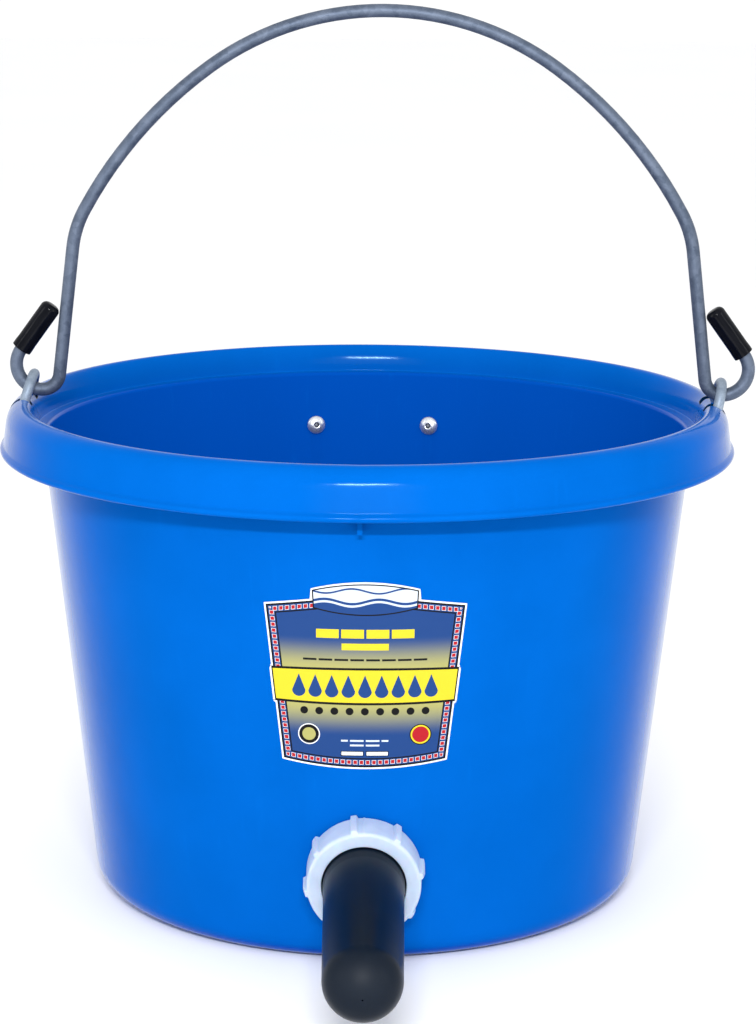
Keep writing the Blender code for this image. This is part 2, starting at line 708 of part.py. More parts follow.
def build_nipple(port):
    """Hollow rubber teat: flange, neck, shaft and a round tip with an outlet."""
    base = STEM_END + GAP
    flange_top = base + TEAT_FLANGE_THICKNESS
    bore = TEAT_TIP_RADIUS - TEAT_WALL
    tip_centre = TEAT_TIP - TEAT_TIP_RADIUS
    outer_tip = math.degrees(math.asin(TEAT_OUTLET_RADIUS / TEAT_TIP_RADIUS))
    inner_tip = math.degrees(math.asin(TEAT_OUTLET_RADIUS / bore))
    outline = [(bore, base), (TEAT_FLANGE_RADIUS, base), (TEAT_FLANGE_RADIUS, flange_top)]
    outline += [(TEAT_NECK_RADIUS, flange_top), (TEAT_NECK_RADIUS, flange_top + 5.0 * MM)]
    outline += [(TEAT_ROOT_RADIUS, flange_top + 9.0 * MM)]
    outline += arc((0.0, tip_centre), (TEAT_TIP_RADIUS, TEAT_TIP_RADIUS), 0, 90 - outer_tip, 8)
    outline += arc((0.0, tip_centre), (bore, bore), 90 - inner_tip, 0, 6)
    return add_object("nipple", turned(outline, 32), "teat_rubber", port)


# ------------------------------------------------------------------ label

def label_half_width(height):
    share = (height - LABEL_BOTTOM) / (LABEL_TOP - LABEL_BOTTOM)
    return LABEL_BOTTOM_HALF + (LABEL_TOP_HALF - LABEL_BOTTOM_HALF) * min(share, 1.0)


def label_top(share):
    """Height of the top edge at a share of the half width from the middle."""
    if abs(share) > LABEL_TAB_SHARE + 0.02:
        return LABEL_TOP + LABEL_SHOULDER_RISE * (1.0 - abs(share)) / (1.0 - LABEL_TAB_SHARE)
    return LABEL_TOP + LABEL_TAB_RISE + LABEL_BOW * (1.0 - (share / LABEL_TAB_SHARE) ** 2)


def build_label():
    """A film with a raised tab on top and a bowed bottom edge, on the cone."""
    outer_shares = (1.0, 0.85, 0.70, LABEL_TAB_SHARE + 0.04)
    inner_shares = (LABEL_TAB_SHARE, 0.40, 0.27, 0.13)
    right = list(outer_shares + inner_shares)
    shares = [-share for share in right] + [0.0] + list(reversed(right))
    rows = 6
    bm = bmesh.new()
    layers = []
    for lift in (GAP, GAP + LABEL_FILM):
        layer = []
        for share in shares:
            bottom = LABEL_BOTTOM - LABEL_BOW * (1.0 - share * share)
            column = []
            for row in range(rows + 1):
                height = bottom + (label_top(share) - bottom) * row / rows
                radius = wall_radius(height) + lift
                angle = share * label_half_width(height) / wall_radius(height) + PORT_TURN
                column.append(bm.verts.new((radius * math.sin(angle),
                                            -radius * math.cos(angle), height)))
            layer.append(column)
        layers.append(layer)
    for layer, flip in zip(layers, (True, False)):
        for left, right_column in zip(layer, layer[1:]):
            for row in range(rows):
                corners = [left[row], right_column[row], right_column[row + 1], left[row + 1]]
                bm.faces.new(list(reversed(corners)) if flip else corners)
    inner, outer = layers
    border = [(column, 0) for column in range(len(shares))]
    border += [(len(shares) - 1, row) for row in range(1, rows + 1)]
    border += [(column, rows) for column in range(len(shares) - 2, -1, -1)]
    border += [(0, row) for row in range(rows - 1, 0, -1)]
    for (column, row), (next_column, next_row) in zip(border, border[1:] + border[:1]):
        bm.faces.new((inner[column][row], inner[next_column][next_row],
                      outer[next_column][next_row], outer[column][row]))
    return add_object("label", bm, "label_film")


# ------------------------------------------------------------------- main

def main():
    clear_scene()
    port = port_empty()
    rivet_axes = rivet_axis_empties()
    bail_pivot = add_empty("bail_pivot", (BAIL_SHIFT, 0.0, PIVOT_HEIGHT))
    bpy.context.view_layer.update()
    build_pail(port, rivet_axes)
    build_bail(bail_pivot)
    build_caps(bail_pivot)
    build_eyes()
    build_hanger(rivet_axes)
    build_rivets(rivet_axes)
    build_valve_body(port)
    build_gasket(port)
    build_ball(port)
    build_cage(port)
    build_nipple(port)
    build_nut(port)
    build_label()


main()
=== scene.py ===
import math

import bmesh
import bpy
from mathutils import Matrix, Quaternion, Vector
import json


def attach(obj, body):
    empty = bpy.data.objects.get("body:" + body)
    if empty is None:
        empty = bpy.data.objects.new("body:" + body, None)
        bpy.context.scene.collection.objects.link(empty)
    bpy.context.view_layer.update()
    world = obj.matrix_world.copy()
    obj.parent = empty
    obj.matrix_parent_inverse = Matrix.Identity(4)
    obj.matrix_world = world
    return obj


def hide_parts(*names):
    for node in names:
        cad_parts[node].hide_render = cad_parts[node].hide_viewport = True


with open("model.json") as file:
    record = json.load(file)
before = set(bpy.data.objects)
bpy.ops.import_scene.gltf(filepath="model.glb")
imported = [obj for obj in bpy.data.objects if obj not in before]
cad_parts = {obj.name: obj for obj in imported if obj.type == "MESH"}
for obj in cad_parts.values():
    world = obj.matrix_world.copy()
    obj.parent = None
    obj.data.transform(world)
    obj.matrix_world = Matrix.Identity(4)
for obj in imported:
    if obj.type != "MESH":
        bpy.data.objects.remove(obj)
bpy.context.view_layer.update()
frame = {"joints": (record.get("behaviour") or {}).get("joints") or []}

# Looks of the calf feeder pail. Units are metres, +Z is up, the teat points
# along -Y and the bail's eyes are at -X and +X. Each fine piece repeats the
# dimensions of the part that it stands for, except that the label's film and
# the hole in the teat's tip are finer here.

MM = 0.001
ON_AXIS = 1e-7                    # less than this from an axis counts as on it

# Pail.
BASE_RADIUS = 109.0 * MM
WALL_TAPER = math.radians(6.27)
WALL = 2.8 * MM
FLOOR = 3.0 * MM
BASE_CORNER = 11.0 * MM
LEDGE_HEIGHT = 186.5 * MM
LEDGE_RADIUS = 131.8 * MM
CREST_RADIUS = 136.5 * MM
CREST_HEIGHT = 197.4 * MM
SKIRT_RADIUS = 143.6 * MM
SKIRT_SHOULDER = 187.8 * MM
LIP_RADIUS = 146.0 * MM
LIP_HEIGHT = 178.0 * MM
BEAD = 1.4 * MM
RIM_WALL = 2.3 * MM
RIM_HOLLOW_RADIUS = 137.4 * MM
RIM_HOLLOW_TOP = 195.0 * MM
RIM_RIB_WIDTH = 1.8 * MM
RIM_RIB_FOOT = 171.2 * MM
RIM_RIB_REACH = 134.5 * MM
SEAM_DEPTH = 0.14 * MM            # of the mould line across the front of the rim
SEAM_HALF_WIDTH = 2.4 * MM

# Teat port, along the wall's normal from where that normal leaves the wall.
PORT_HEIGHT = 38.5 * MM
PORT_TURN = math.radians(0.9)     # off the rim's mould line, towards +X
INNER_PAD_RADIUS = 24.5 * MM
INNER_PAD_FACE = -5.7 * MM
OUTER_PAD_RADIUS = 20.5 * MM
OUTER_PAD_FACE = 0.4 * MM
GAP = 0.3 * MM
STEM_RADIUS = 18.0 * MM
THREAD_PLAY = 0.4 * MM
STEM_END = 8.0 * MM
FLANGE_RADIUS = 23.5 * MM
FLANGE_THICKNESS = 3.5 * MM
GASKET_THICKNESS = 2.5 * MM
SEAT_THICKNESS = 3.0 * MM
INLET_RADIUS = 4.5 * MM
CHAMBER_RADIUS = 7.2 * MM
CAGE_THICKNESS = 2.0 * MM
CAGE_RADIUS = 10.7 * MM
CAGE_HOLES = 5
CAGE_HOLE_RADIUS = 1.7 * MM
CAGE_HOLE_CIRCLE = 5.8 * MM
BALL_RADIUS = 6.5 * MM
BALL_TRAVEL = 3.5 * MM
NUT_RADIUS = 21.5 * MM
NUT_DEPTH = 13.8 * MM
NUT_FACE = 3.0 * MM
NUT_HOLE_RADIUS = 15.75 * MM
NUT_RIBS = 8
NUT_RIB_WIDTH = 2.6 * MM
NUT_RIB_RISE = 1.4 * MM
NUT_RIB_START = 100.0             # degrees from +X about the port's axis
NUT_RIB_EASE = 0.7 * MM           # over which a rib's flanks and foot rise
NUT_SEAM_RISE = 0.3 * MM
NUT_SEAM_HALF_WIDTH = 0.35 * MM
TEAT_FLANGE_RADIUS = 17.9 * MM
TEAT_FLANGE_THICKNESS = 2.9 * MM
TEAT_NECK_RADIUS = 15.3 * MM
TEAT_ROOT_RADIUS = 15.0 * MM
TEAT_TIP_RADIUS = 14.3 * MM
TEAT_WALL = 3.2 * MM
TEAT_TIP = 104.0 * MM
TEAT_OUTLET_RADIUS = 0.3 * MM

# Bail, its caps and its eyes.
ROD_RADIUS = 2.6 * MM
CROWN_HEIGHT = 350.0 * MM
SHOULDER_BENDS = ((115.6 * MM, 35.8), (172.5 * MM, 25.2), (41.5 * MM, 22.2))
LEG_LENGTH = 51.05 * MM
HOOK_BENDS = ((7.0 * MM, 83.2), (10.2 * MM, 126.0))
HOOK_TAIL = 20.4 * MM
CAP_RADIUS = 4.1 * MM
CAP_LENGTH = 22.0 * MM
CAP_END = 1.5 * MM
EYE_WIRE_RADIUS = 2.05 * MM
EYE_RISE = 15.3 * MM
EYE_HALF_WIDTH = 8.6 * MM
EYE_KNEE = 3.0 * MM
EYE_FOOT_LENGTH = 2.5 * MM
EYE_LEANS = {"left": 16.0, "right": 12.5}
EYE_SLOT_WIDTH = 5.2 * MM
EYE_SLOT_LENGTH = 8.6 * MM
EYE_SLOT_FLOOR = 191.0 * MM

# Hanger and its rivets.
RIVET_SPACING = 50.8 * MM
RIVET_HEIGHT = 163.5 * MM
SHANK_RADIUS = 2.0 * MM
SHANK_HOLE_RADIUS = 2.3 * MM
RIVET_HEAD_RADIUS = 4.0 * MM
RIVET_HEAD_RISE = 1.8 * MM
RIVET_HEAD_STANDOFF = 0.5 * MM
MANDREL_RADIUS = 0.8 * MM
STEEL = 2.0 * MM
SADDLE_STANDOFF = 0.4 * MM
SADDLE_HALF_WIDTH = 37.0 * MM
SADDLE_FOOT = 149.0 * MM
SADDLE_TOP = 170.0 * MM
HOOK_HALF_WIDTH = 22.0 * MM
SHELF_HEIGHT = 172.5 * MM
HOOK_REACH = 170.0 * MM
HOOK_FOOT = 131.0 * MM
HOOK_FLARE = 3.0 * MM
HOOK_BEND = 6.0 * MM
SHELF_BEND = 4.2 * MM             # where the saddle turns out into the shelf
SADDLE_CORNER = 5.0 * MM          # rounding of the sheet's corners
NECK_CORNER = 4.0 * MM
HOOK_CORNER = 7.0 * MM
STEEL_EDGE = 0.35 * MM
RIVET_TAIL_START = SADDLE_STANDOFF + STEEL + 0.4 * MM
RIVET_TAIL_END = RIVET_TAIL_START + 2.4 * MM
MANDREL_KNOB_RADIUS = 1.5 * MM
MANDREL_KNOB = 1.5 * MM           # how far it stands out of the rivet's tail

# Label, as distances along the wall from the label's middle line.
LABEL_TOP = 142.8 * MM
LABEL_BOTTOM = 82.0 * MM
LABEL_TOP_HALF = 37.6 * MM
LABEL_BOTTOM_HALF = 30.7 * MM
LABEL_SHOULDER_RISE = 2.4 * MM
LABEL_TAB_RISE = 6.4 * MM
LABEL_TAB_SHARE = 0.53
LABEL_BOW = 2.8 * MM
LABEL_LIFT = 0.05 * MM
LABEL_FILM = 0.18 * MM
LABEL_SLOPE = (LABEL_TOP_HALF - LABEL_BOTTOM_HALF) / (LABEL_TOP - LABEL_BOTTOM)
LABEL_SHOULDER_SLOPE = LABEL_SHOULDER_RISE / (1.0 - LABEL_TAB_SHARE)
BAND_BOTTOM = 104.6 * MM
BAND_TOP = 118.7 * MM
BAND_PROUD = 0.8 * MM


# ---- outlines

def arc(centre, radii, start, end, steps=10):
    """Corners (radius, height, no fillet) on an elliptical arc, in degrees."""
    corners = []
    for index in range(steps + 1):
        angle = math.radians(start + (end - start) * index / steps)
        corners.append((centre[0] + radii[0] * math.cos(angle),
                        centre[1] + radii[1] * math.sin(angle), 0.0))
    return corners


def rounded(corners, steps=6):
    """Points of a closed outline whose (x, y, fillet radius) corners are rounded."""
    points = []
    for index, (x, y, fillet) in enumerate(corners):
        here = Vector((x, y))
        if fillet <= 0.0:
            points.append(here)
            continue
        before = (Vector(corners[index - 1][:2]) - here).normalized()
        after = (Vector(corners[(index + 1) % len(corners)][:2]) - here).normalized()
        half = before.angle(after) / 2.0
        middle = here + (before + after).normalized() * fillet / math.sin(half)
        first = here + before * fillet / math.tan(half) - middle
        last = here + after * fillet / math.tan(half) - middle
        start = math.atan2(first.y, first.x)
        turn = (math.atan2(last.y, last.x) - start + math.pi) % (2.0 * math.pi) - math.pi
        for step in range(steps + 1):
            angle = start + turn * step / steps
            points.append(middle + fillet * Vector((math.cos(angle), math.sin(angle))))
    return points


def clamp(value):
    return max(0.0, min(1.0, value))


def wall_radius(height):
    return BASE_RADIUS + height * math.tan(WALL_TAPER)


def turn_to(aim):
    """The rotation that takes +Z to a direction."""
    return Vector((0.0, 0.0, 1.0)).rotation_difference(aim).to_matrix().to_4x4()


def direction(heading):
    return Vector((math.cos(math.radians(heading)), 0.0, math.sin(math.radians(heading))))


def bend(path, heading, radius, turn, step=2.5):
    """Carry a flat X-Z path round a bend; a positive turn is towards +Z."""
    count = math.ceil(abs(turn) / step)
    for _ in range(count):
        heading += turn / count / 2.0
        chord = 2.0 * radius * math.sin(math.radians(abs(turn)) / count / 2.0)
        path.append(path[-1] + chord * direction(heading))
        heading += turn / count / 2.0
    return heading


# ---- meshes

def bridge(bm, lower, upper, closed=True):
    """Join two rows of vertices; a row on an axis is one vertex many times."""
    for index in range(len(lower) if closed else len(lower) - 1):
        after = (index + 1) % len(lower)
        corners = [lower[index], lower[after], upper[after], upper[index]]
        bm.faces.new(list(dict.fromkeys(corners)))


def turned(outline, segments=96, angles=None, reshape=None):
    """Turn a closed outline about Z. A point on the axis is a single vertex.

    reshape(radius, height, angle) can move each point of the surface.
    """
    if angles is None:
        angles = [2.0 * math.pi * index / segments for index in range(segments)]
    bm = bmesh.new()
    rings = []
    for radius, height in outline:
        if radius < ON_AXIS:
            rings.append([bm.verts.new((0.0, 0.0, height))] * len(angles))
            continue
        ring = []
        for angle in angles:
            far, high = reshape(radius, height, angle) if reshape else (radius, height)
            ring.append(bm.verts.new((far * math.cos(angle), far * math.sin(angle), high)))
        rings.append(ring)
    pairs = list(zip(rings, rings[1:]))
    if outline[0][0] > ON_AXIS:
        pairs.append((rings[-1], rings[0]))
    for lower, upper in pairs:
        bridge(bm, lower, upper)
    return bm


def swept(path, radius, across, sides=32):
    """A round rod with eased ends along a flat path; across is the path's normal."""
    ease = 0.3 * MM
    start = path[0] + (path[1] - path[0]).normalized() * ease
    end = path[-1] + (path[-2] - path[-1]).normalized() * ease
    points = [path[0], start] + list(path[1:-1]) + [end, path[-1]]
    bm = bmesh.new()
    rings = []
    for index, point in enumerate(points):
        before = points[max(index - 1, 0)]
        after = points[min(index + 1, len(points) - 1)]
        other = (after - before).normalized().cross(across)
        is_end = index in (0, len(points) - 1)
        reach = radius - ease if is_end else radius
        ring = []
        for side in range(sides):
            angle = 2.0 * math.pi * side / sides
            offset = across * math.cos(angle) + other * math.sin(angle)
            ring.append(bm.verts.new(point + offset * reach))
        rings.append(ring)
    for lower, upper in zip(rings, rings[1:]):
        bridge(bm, lower, upper)
    bm.faces.new(list(reversed(rings[0])))
    bm.faces.new(rings[-1])
    return bm


def slab(outline, low, high):
    """A flat plate between two heights, from an outline in X and Y."""
    bm = bmesh.new()
    bottom = [bm.verts.new((point.x, point.y, low)) for point in outline]
    top = [bm.verts.new((point.x, point.y, high)) for point in outline]
    bm.faces.new(list(reversed(bottom)))
    bm.faces.new(top)
    bridge(bm, bottom, top)
    return bm


def disc(radius, low, high, fillet=0.0, segments=96):
    corners = [(0.0, low, 0.0), (radius, low, fillet), (radius, high, fillet), (0.0, high, 0.0)]
    return turned(rounded(corners), segments)


def link_object(name, data):
    made = bpy.data.objects.new(name, data)
    bpy.context.scene.collection.objects.link(made)
    return made


def add_object(name, bm, place=None):
    bmesh.ops.recalc_face_normals(bm, faces=bm.faces)
    mesh = bpy.data.meshes.new(name)
    bm.to_mesh(mesh)
    bm.free()
    made = link_object(name, mesh)
    if place is not None:
        made.matrix_world = place
    return made


def combine(target, operation, name, bm, place=None):
    """Queue a Boolean with a guide object, which bake() removes."""
    step = target.modifiers.new(name, "BOOLEAN")
    step.operation = operation
    step.object = add_object(name, bm, place)
    step.solver = "EXACT"


def bake(target):
    """Apply the target's modifiers and remove the guides that they used."""
    tools = [step.object for step in target.modifiers if step.type == "BOOLEAN"]
    depsgraph = bpy.context.evaluated_depsgraph_get()
    mesh = bpy.data.meshes.new_from_object(target.evaluated_get(depsgraph))
    target.modifiers.clear()
    target.data = mesh
    for tool in tools:
        bpy.data.objects.remove(tool, do_unlink=True)


def finish(target, look, body, slot, *nodes, sharp=32.0):
    """Shade a piece, give it its look, and let it stand for CAD nodes on a body."""
    target.data.materials.clear()
    target.data.materials.append(look)
    target.data.shade_smooth()
    target.data.set_sharp_from_angle(angle=math.radians(sharp))
    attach(target, body)
    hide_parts(*nodes)


def add_piece(name, bm, place, look, body, slot, *nodes):
    finish(add_object(name, bm, place), look, body, slot, *nodes)


# ---- materials

def add_node(tree, kind, inputs, **settings):
    """Add a node. An input gets a value, or the field or socket that feeds it."""
    node = tree.nodes.new("ShaderNode" + kind)
    for name, value in settings.items():
        setattr(node, name, value)
    for name, value in inputs.items():
        feed = value.socket if isinstance(value, Field) else value
        if isinstance(feed, bpy.types.NodeSocket):
            tree.links.new(feed, node.inputs[name])
        else:
            node.inputs[name].default_value = feed
    return node


class Field:
    """A number that varies over a surface, written as arithmetic on nodes."""

    def __init__(self, socket):
        self.socket = socket
        self.tree = socket.id_data

    def math(self, operation, *others):
        inputs = dict(enumerate((self, *others)))
        return Field(add_node(self.tree, "Math", inputs, operation=operation).outputs[0])

    def __add__(self, other):
        return self.math("ADD", other)

    def __sub__(self, other):
        return self.math("SUBTRACT", other)

    def __mul__(self, other):
        return self.math("MULTIPLY", other)

    def __truediv__(self, other):
        return self.math("DIVIDE", other)

    def __rsub__(self, other):
        return self * -1.0 + other

    def __neg__(self):
        return self * -1.0

    def __abs__(self):
        return self.math("ABSOLUTE")

    def least(self, other):
        return self.math("MINIMUM", other)

    def over(self, limit):
        return self.math("GREATER_THAN", limit)

    def under(self, limit):
        return self.math("LESS_THAN", limit)

    def between(self, low, high):
        return self.over(low) * self.under(high)

    def spread(self, from_low, from_high, to_low, to_high, smooth=False):
        inputs = {"Value": self, "From Min": from_low, "From Max": from_high,
                  "To Min": to_low, "To Max": to_high}
        kind = "SMOOTHSTEP" if smooth else "LINEAR"
        return Field(add_node(self.tree, "MapRange", inputs, interpolation_type=kind).outputs[0])

    def opened(self, low=0.0, high=1.0):
        """Noise lies mostly between 0.3 and 0.7; open that out to low and high."""
        return self.spread(0.3, 0.7, low, high)


class Look:
    """A material under construction around one Principled shader."""

    def __init__(self, name, **values):
        self.material = bpy.data.materials.new(name)
        self.material.use_nodes = True
        self.tree = self.material.node_tree
        self.shader = self.tree.nodes["Principled BSDF"]
        for socket, value in values.items():
            self.shader.inputs[socket.replace("_", " ")].default_value = value
        self.place = add_node(self.tree, "TexCoord", {}).outputs["Object"]
        self.bump_above = None

    def axes(self):
        return [Field(axis) for axis in add_node(self.tree, "SeparateXYZ", {0: self.place}).outputs]

    def noise(self, size, detail=3.0, stretch=(1.0, 1.0, 1.0)):
        """Cloudy noise, 0 to 1, whose features are about size across."""
        scale = [1.0 / share for share in stretch]
        place = add_node(self.tree, "Mapping", {"Vector": self.place, "Scale": scale}).outputs[0]
        inputs = {"Vector": place, "Scale": 1.0 / size, "Detail": detail}
        return Field(add_node(self.tree, "TexNoise", inputs).outputs["Fac"])

    def slant(self):
        """0 where the surface is seen square on, 1 where it is seen edge on."""
        return Field(add_node(self.tree, "LayerWeight", {}).outputs["Facing"])

    def spangle(self, size):
        """A random shade for each grain, as on galvanised steel."""
        inputs = {"Vector": self.place, "Scale": 1.0 / size}
        grains = add_node(self.tree, "TexVoronoi", inputs).outputs["Color"]
        return Field(add_node(self.tree, "SeparateColor", {0: grains}).outputs[0])

    def mix(self, share, first, second):
        """Colour first where share is 0, second where it is 1."""
        first, second = [(*end, 1.0) if isinstance(end, tuple) else end for end in (first, second)]
        inputs = {0: share, 6: first, 7: second}
        return add_node(self.tree, "Mix", inputs, data_type="RGBA").outputs[2]

    def colour(self, socket):
        self.tree.links.new(socket, self.shader.inputs["Base Color"])

    def shade(self, noise, dark, pale):
        self.colour(self.mix(noise.opened(), dark, pale))

    def vary(self, name, field):
        self.tree.links.new(field.socket, self.shader.inputs[name])

    def bump(self, field, depth):
        """Raise the surface by up to depth where the field is 1."""
        inputs = {"Distance": depth, "Height": field}
        if self.bump_above is not None:
            inputs["Normal"] = self.bump_above
        self.bump_above = add_node(self.tree, "Bump", inputs).outputs["Normal"]
        self.tree.links.new(self.bump_above, self.shader.inputs["Normal"])


# The pail's blues, with painted shade inside it and in the eyes' slots, and its
# gloss: strong where it is seen edge on, slight where its outside is seen
# square on, and next to none between the two.
PAIL_DEEP = (0.0003, 0.086, 0.388)
PAIL_FULL = (0.0006, 0.096, 0.430)
PAIL_FLOW_MARK = (0.002, 0.14, 0.56)
PAIL_INSIDE_PAINTED_SHADE = (0.0003, 0.063, 0.372)
PAIL_SLOT_PAINTED_SHADE = (0.0003, 0.018, 0.065)
PAIL_EDGE_GLOSS = 0.44
PAIL_SQUARE_GLOSS = 0.13


def eye_slot_shade_mask(x, y, z):
    """1 inside the four slots that hold the eyes' feet, where painted shade goes, and 0 elsewhere."""
    margin = 0.1 * MM
    lengthwise = abs(abs(x) - joint_place("eye_right_rock")[0]).under(EYE_SLOT_LENGTH / 2.0 + margin)
    widthwise = abs(abs(y) - EYE_HALF_WIDTH).under(EYE_SLOT_WIDTH / 2.0 + margin)
    return lengthwise * widthwise * z.over(EYE_SLOT_FLOOR - 2.0 * margin)


def pail_look():
    """Semi-gloss blue polyethylene with faint flow marks and fine scuffs, and painted shade inside it
    and in the eyes' slots.
    """
    look = Look("pail_blue", Specular_Tint=(0.5, 0.85, 1.0, 1.0))
    cloud = look.noise(38 * MM, 4.0)
    grain = look.noise(0.9 * MM, 2.0)
    flow = look.noise(3.0 * MM, 3.0, stretch=(1.0, 1.0, 14.0))
    x, y, z = look.axes()
    depth = z * math.tan(WALL_TAPER) + BASE_RADIUS - (x * x + y * y).math("SQRT")
    inside = depth.spread(0.3 * WALL, 0.7 * WALL, 0.0, 1.0) * z.over(FLOOR / 2.0)
    tone = look.mix(cloud.opened(), PAIL_DEEP, PAIL_FULL)
    # Painted shade: the pail's inside is given a darker blue than its outside.
    tone = look.mix(inside, tone, PAIL_INSIDE_PAINTED_SHADE)
    # Painted shade: the floors and sides of the eyes' slots are painted nearly black.
    tone = look.mix(eye_slot_shade_mask(x, y, z), tone, PAIL_SLOT_PAINTED_SHADE)
    tone = look.mix(flow.spread(0.62, 0.80, 0.0, 0.10), tone, PAIL_FLOW_MARK)
    look.colour(tone)
    look.vary("Roughness", (cloud * 0.08 + grain * 0.06 + flow * 0.05).spread(0.0, 0.2, 0.09, 0.17))
    slant = look.slant()
    square_on = slant.spread(0.0, 0.02, PAIL_SQUARE_GLOSS, 0.0, smooth=True) * (1.0 - inside)
    look.vary("Specular IOR Level", slant.math("POWER", 5.0) * PAIL_EDGE_GLOSS + square_on)
    look.bump(grain, 0.012 * MM)
    look.bump(flow, 0.02 * MM)
    look.bump(look.noise(14 * MM, 2.0), 0.10 * MM)
    return look.material


def galvanised_look(name, dark, pale):
    """Dull zinc: soft clouds, small grains and dust."""
    look = Look(name, Metallic=0.55, Specular_IOR_Level=0.4)
    grain = look.spangle(2.2 * MM)
    cloud = look.noise(9.0 * MM, 5.0)
    dust = look.noise(0.7 * MM, 3.0)
    look.shade(cloud * 0.6 + grain * 0.16 + dust * 0.24, dark, pale)
    look.vary("Roughness", (cloud * 0.5 + dust * 0.5).spread(0.2, 0.8, 0.42, 0.66))
    look.bump(dust, 0.03 * MM)
    look.bump(cloud, 0.08 * MM)
    return look.material


def grained_look(name, dark, pale, roughness, coarse, fine, coarse_bump, fine_bump, **values):
    """A plain look: coarse noise shades it, both roughen it, either can dent it."""
    look = Look(name, **values)
    cloud = look.noise(*coarse)
    grain = look.noise(*fine)
    look.shade(cloud, dark, pale)
    look.vary("Roughness", (cloud * 0.5 + grain * 0.5).opened(*roughness))
    for noise, depth in ((cloud, coarse_bump), (grain, fine_bump)):
        if depth:
            look.bump(noise, depth)
    return look.material


def sheet_steel_look():
    """Zinc-plated sheet with rolling marks along its width."""
    return grained_look("zinc_sheet", (0.40, 0.42, 0.45), (0.54, 0.56, 0.58), (0.30, 0.48),
                        (16 * MM, 4.0), (0.8 * MM, 3.0, (22.0, 1.0, 1.0)), 0.0, 0.02 * MM,
                        Metallic=0.9)


def rivet_look(name, dark, pale, roughness):
    """Plain metal with fine dust on it."""
    look = Look(name, Metallic=0.85)
    dust = look.noise(0.6 * MM, 4.0)
    look.shade(dust, dark, pale)
    look.vary("Roughness", dust.spread(0.2, 0.8, roughness - 0.06, roughness + 0.1))
    look.bump(dust, 0.02 * MM)
    return look.material


def vinyl_look():
    """Dipped black vinyl: glossy, with slight runs along the cap."""
    return grained_look("black_vinyl", (0.0015, 0.002, 0.004), (0.004, 0.0045, 0.007), (0.10, 0.20),
                        (1.6 * MM, 2.0, (1.0, 1.0, 6.0)), (0.4 * MM, 2.0), 0.10 * MM, 0.0,
                        Specular_IOR_Level=0.09)


def teat_look():
    """Moulded black rubber, its base colour tinted blue as a painted reflection of the blue pail,
    duller where it is seen square on.
    """
    look = Look("teat_rubber")
    cloud = look.noise(12 * MM, 4.0)
    grain = look.noise(0.5 * MM, 3.0)
    # Painted reflection: the dark base colour is tinted blue for the blue pail that the rubber
    # reflects.
    look.shade(cloud * 0.7 + grain * 0.3, (0.0015, 0.005, 0.012), (0.0035, 0.008, 0.016))
    slant = look.slant()
    look.vary("Roughness", slant.spread(0.08, 0.5, 0.50, 0.28) + (cloud * 0.5 + grain * 0.5) * 0.1)
    look.vary("Specular IOR Level", slant.spread(0.08, 0.5, 0.17, 0.065))
    look.bump(grain, 0.02 * MM)
    look.bump(cloud, 0.05 * MM)
    return look.material


def milky_look(name, dark, pale, depth):
    """Milky moulded plastic that light sinks into a little."""
    return grained_look(name, dark, pale, (0.30, 0.46), (7.0 * MM, 4.0), (0.6 * MM, 2.0),
                        0.0, 0.015 * MM, Specular_IOR_Level=0.3,
                        Subsurface_Weight=0.35, Subsurface_Scale=depth)


def gasket_look():
    """Dull black rubber."""
    look = Look("gasket_rubber", Specular_IOR_Level=0.3)
    grain = look.noise(0.5 * MM, 3.0)
    look.shade(grain, (0.016, 0.016, 0.018), (0.03, 0.03, 0.032))
    look.vary("Roughness", grain.opened(0.6, 0.8))
    look.bump(grain, 0.02 * MM)
    return look.material


INK = {
    "white": (0.66, 0.67, 0.69),
    "black": (0.003, 0.003, 0.004),
    "blue": (0.010, 0.043, 0.165),
    "khaki": (0.330, 0.315, 0.105),
    "yellow": (0.55, 0.46, 0.022),
    "red": (0.34, 0.010, 0.016),
    "pale": (0.50, 0.56, 0.63),
}

# The print's sizes are all in millimetres, across from the label's middle line
# and up from the pail's base.
BORDER_INKS = ((4.3, "black"), (3.8, "blue"), (1.35, "black"), (0.65, "white"))   # in from the edge
TICK_PITCH = 2.3                  # of the squares in the border
TICK_INKS = ((1.75, 3.45, 0.35, "white"), (1.9, 3.3, 0.5, "red"))   # from, to, gap, ink
DROP_PITCH = 6.1
DROP_ROUND = 2.5                  # radius of a drop's foot
DROP_POINT = 6.4                  # from its widest place up to its tip
DROP_ROW_HALF = 27.5
WAVE_RISE = 0.9
WAVE_TURN = 0.32                  # radians per millimetre
TAB_FOOT = 141.2

# Plain bars: low, high, half the row's width, length of a repeat, gap at its
# ends, ink. A repeat of 0 is one bar without a gap.
LABEL_BARS = (
    (130.4, 133.8, 18.4, 9.2, 0.45, "yellow"),
    (125.8, 128.4, 8.6, 0.0, 0.0, "yellow"),
    (121.6, 122.4, 23.2, 5.8, 0.4, "black"),
    (90.0, 90.7, 8.7, 5.8, 0.4, "pale"),
    (88.2, 88.9, 5.4, 5.8, 0.4, "pale"),
    (84.3, 86.3, 9.2, 9.2, 0.4, "black"),
    (84.6, 86.0, 9.2, 9.2, 0.7, "white"),
)

# Plain discs: across, up, radius, ink, with a row of small ones under the band.
LABEL_DISCS = tuple((-22.4 + 5.6 * index, 101.9, 1.45, "black") for index in range(9)) + (
    (-20.6, 92.6, 4.1, "white"),
    (-20.6, 92.6, 3.7, "black"),
    (-20.6, 92.6, 2.5, "khaki"),
    (20.6, 92.6, 4.1, "black"),
    (20.6, 92.6, 3.7, "yellow"),
    (20.6, 92.6, 3.1, "red"),
)


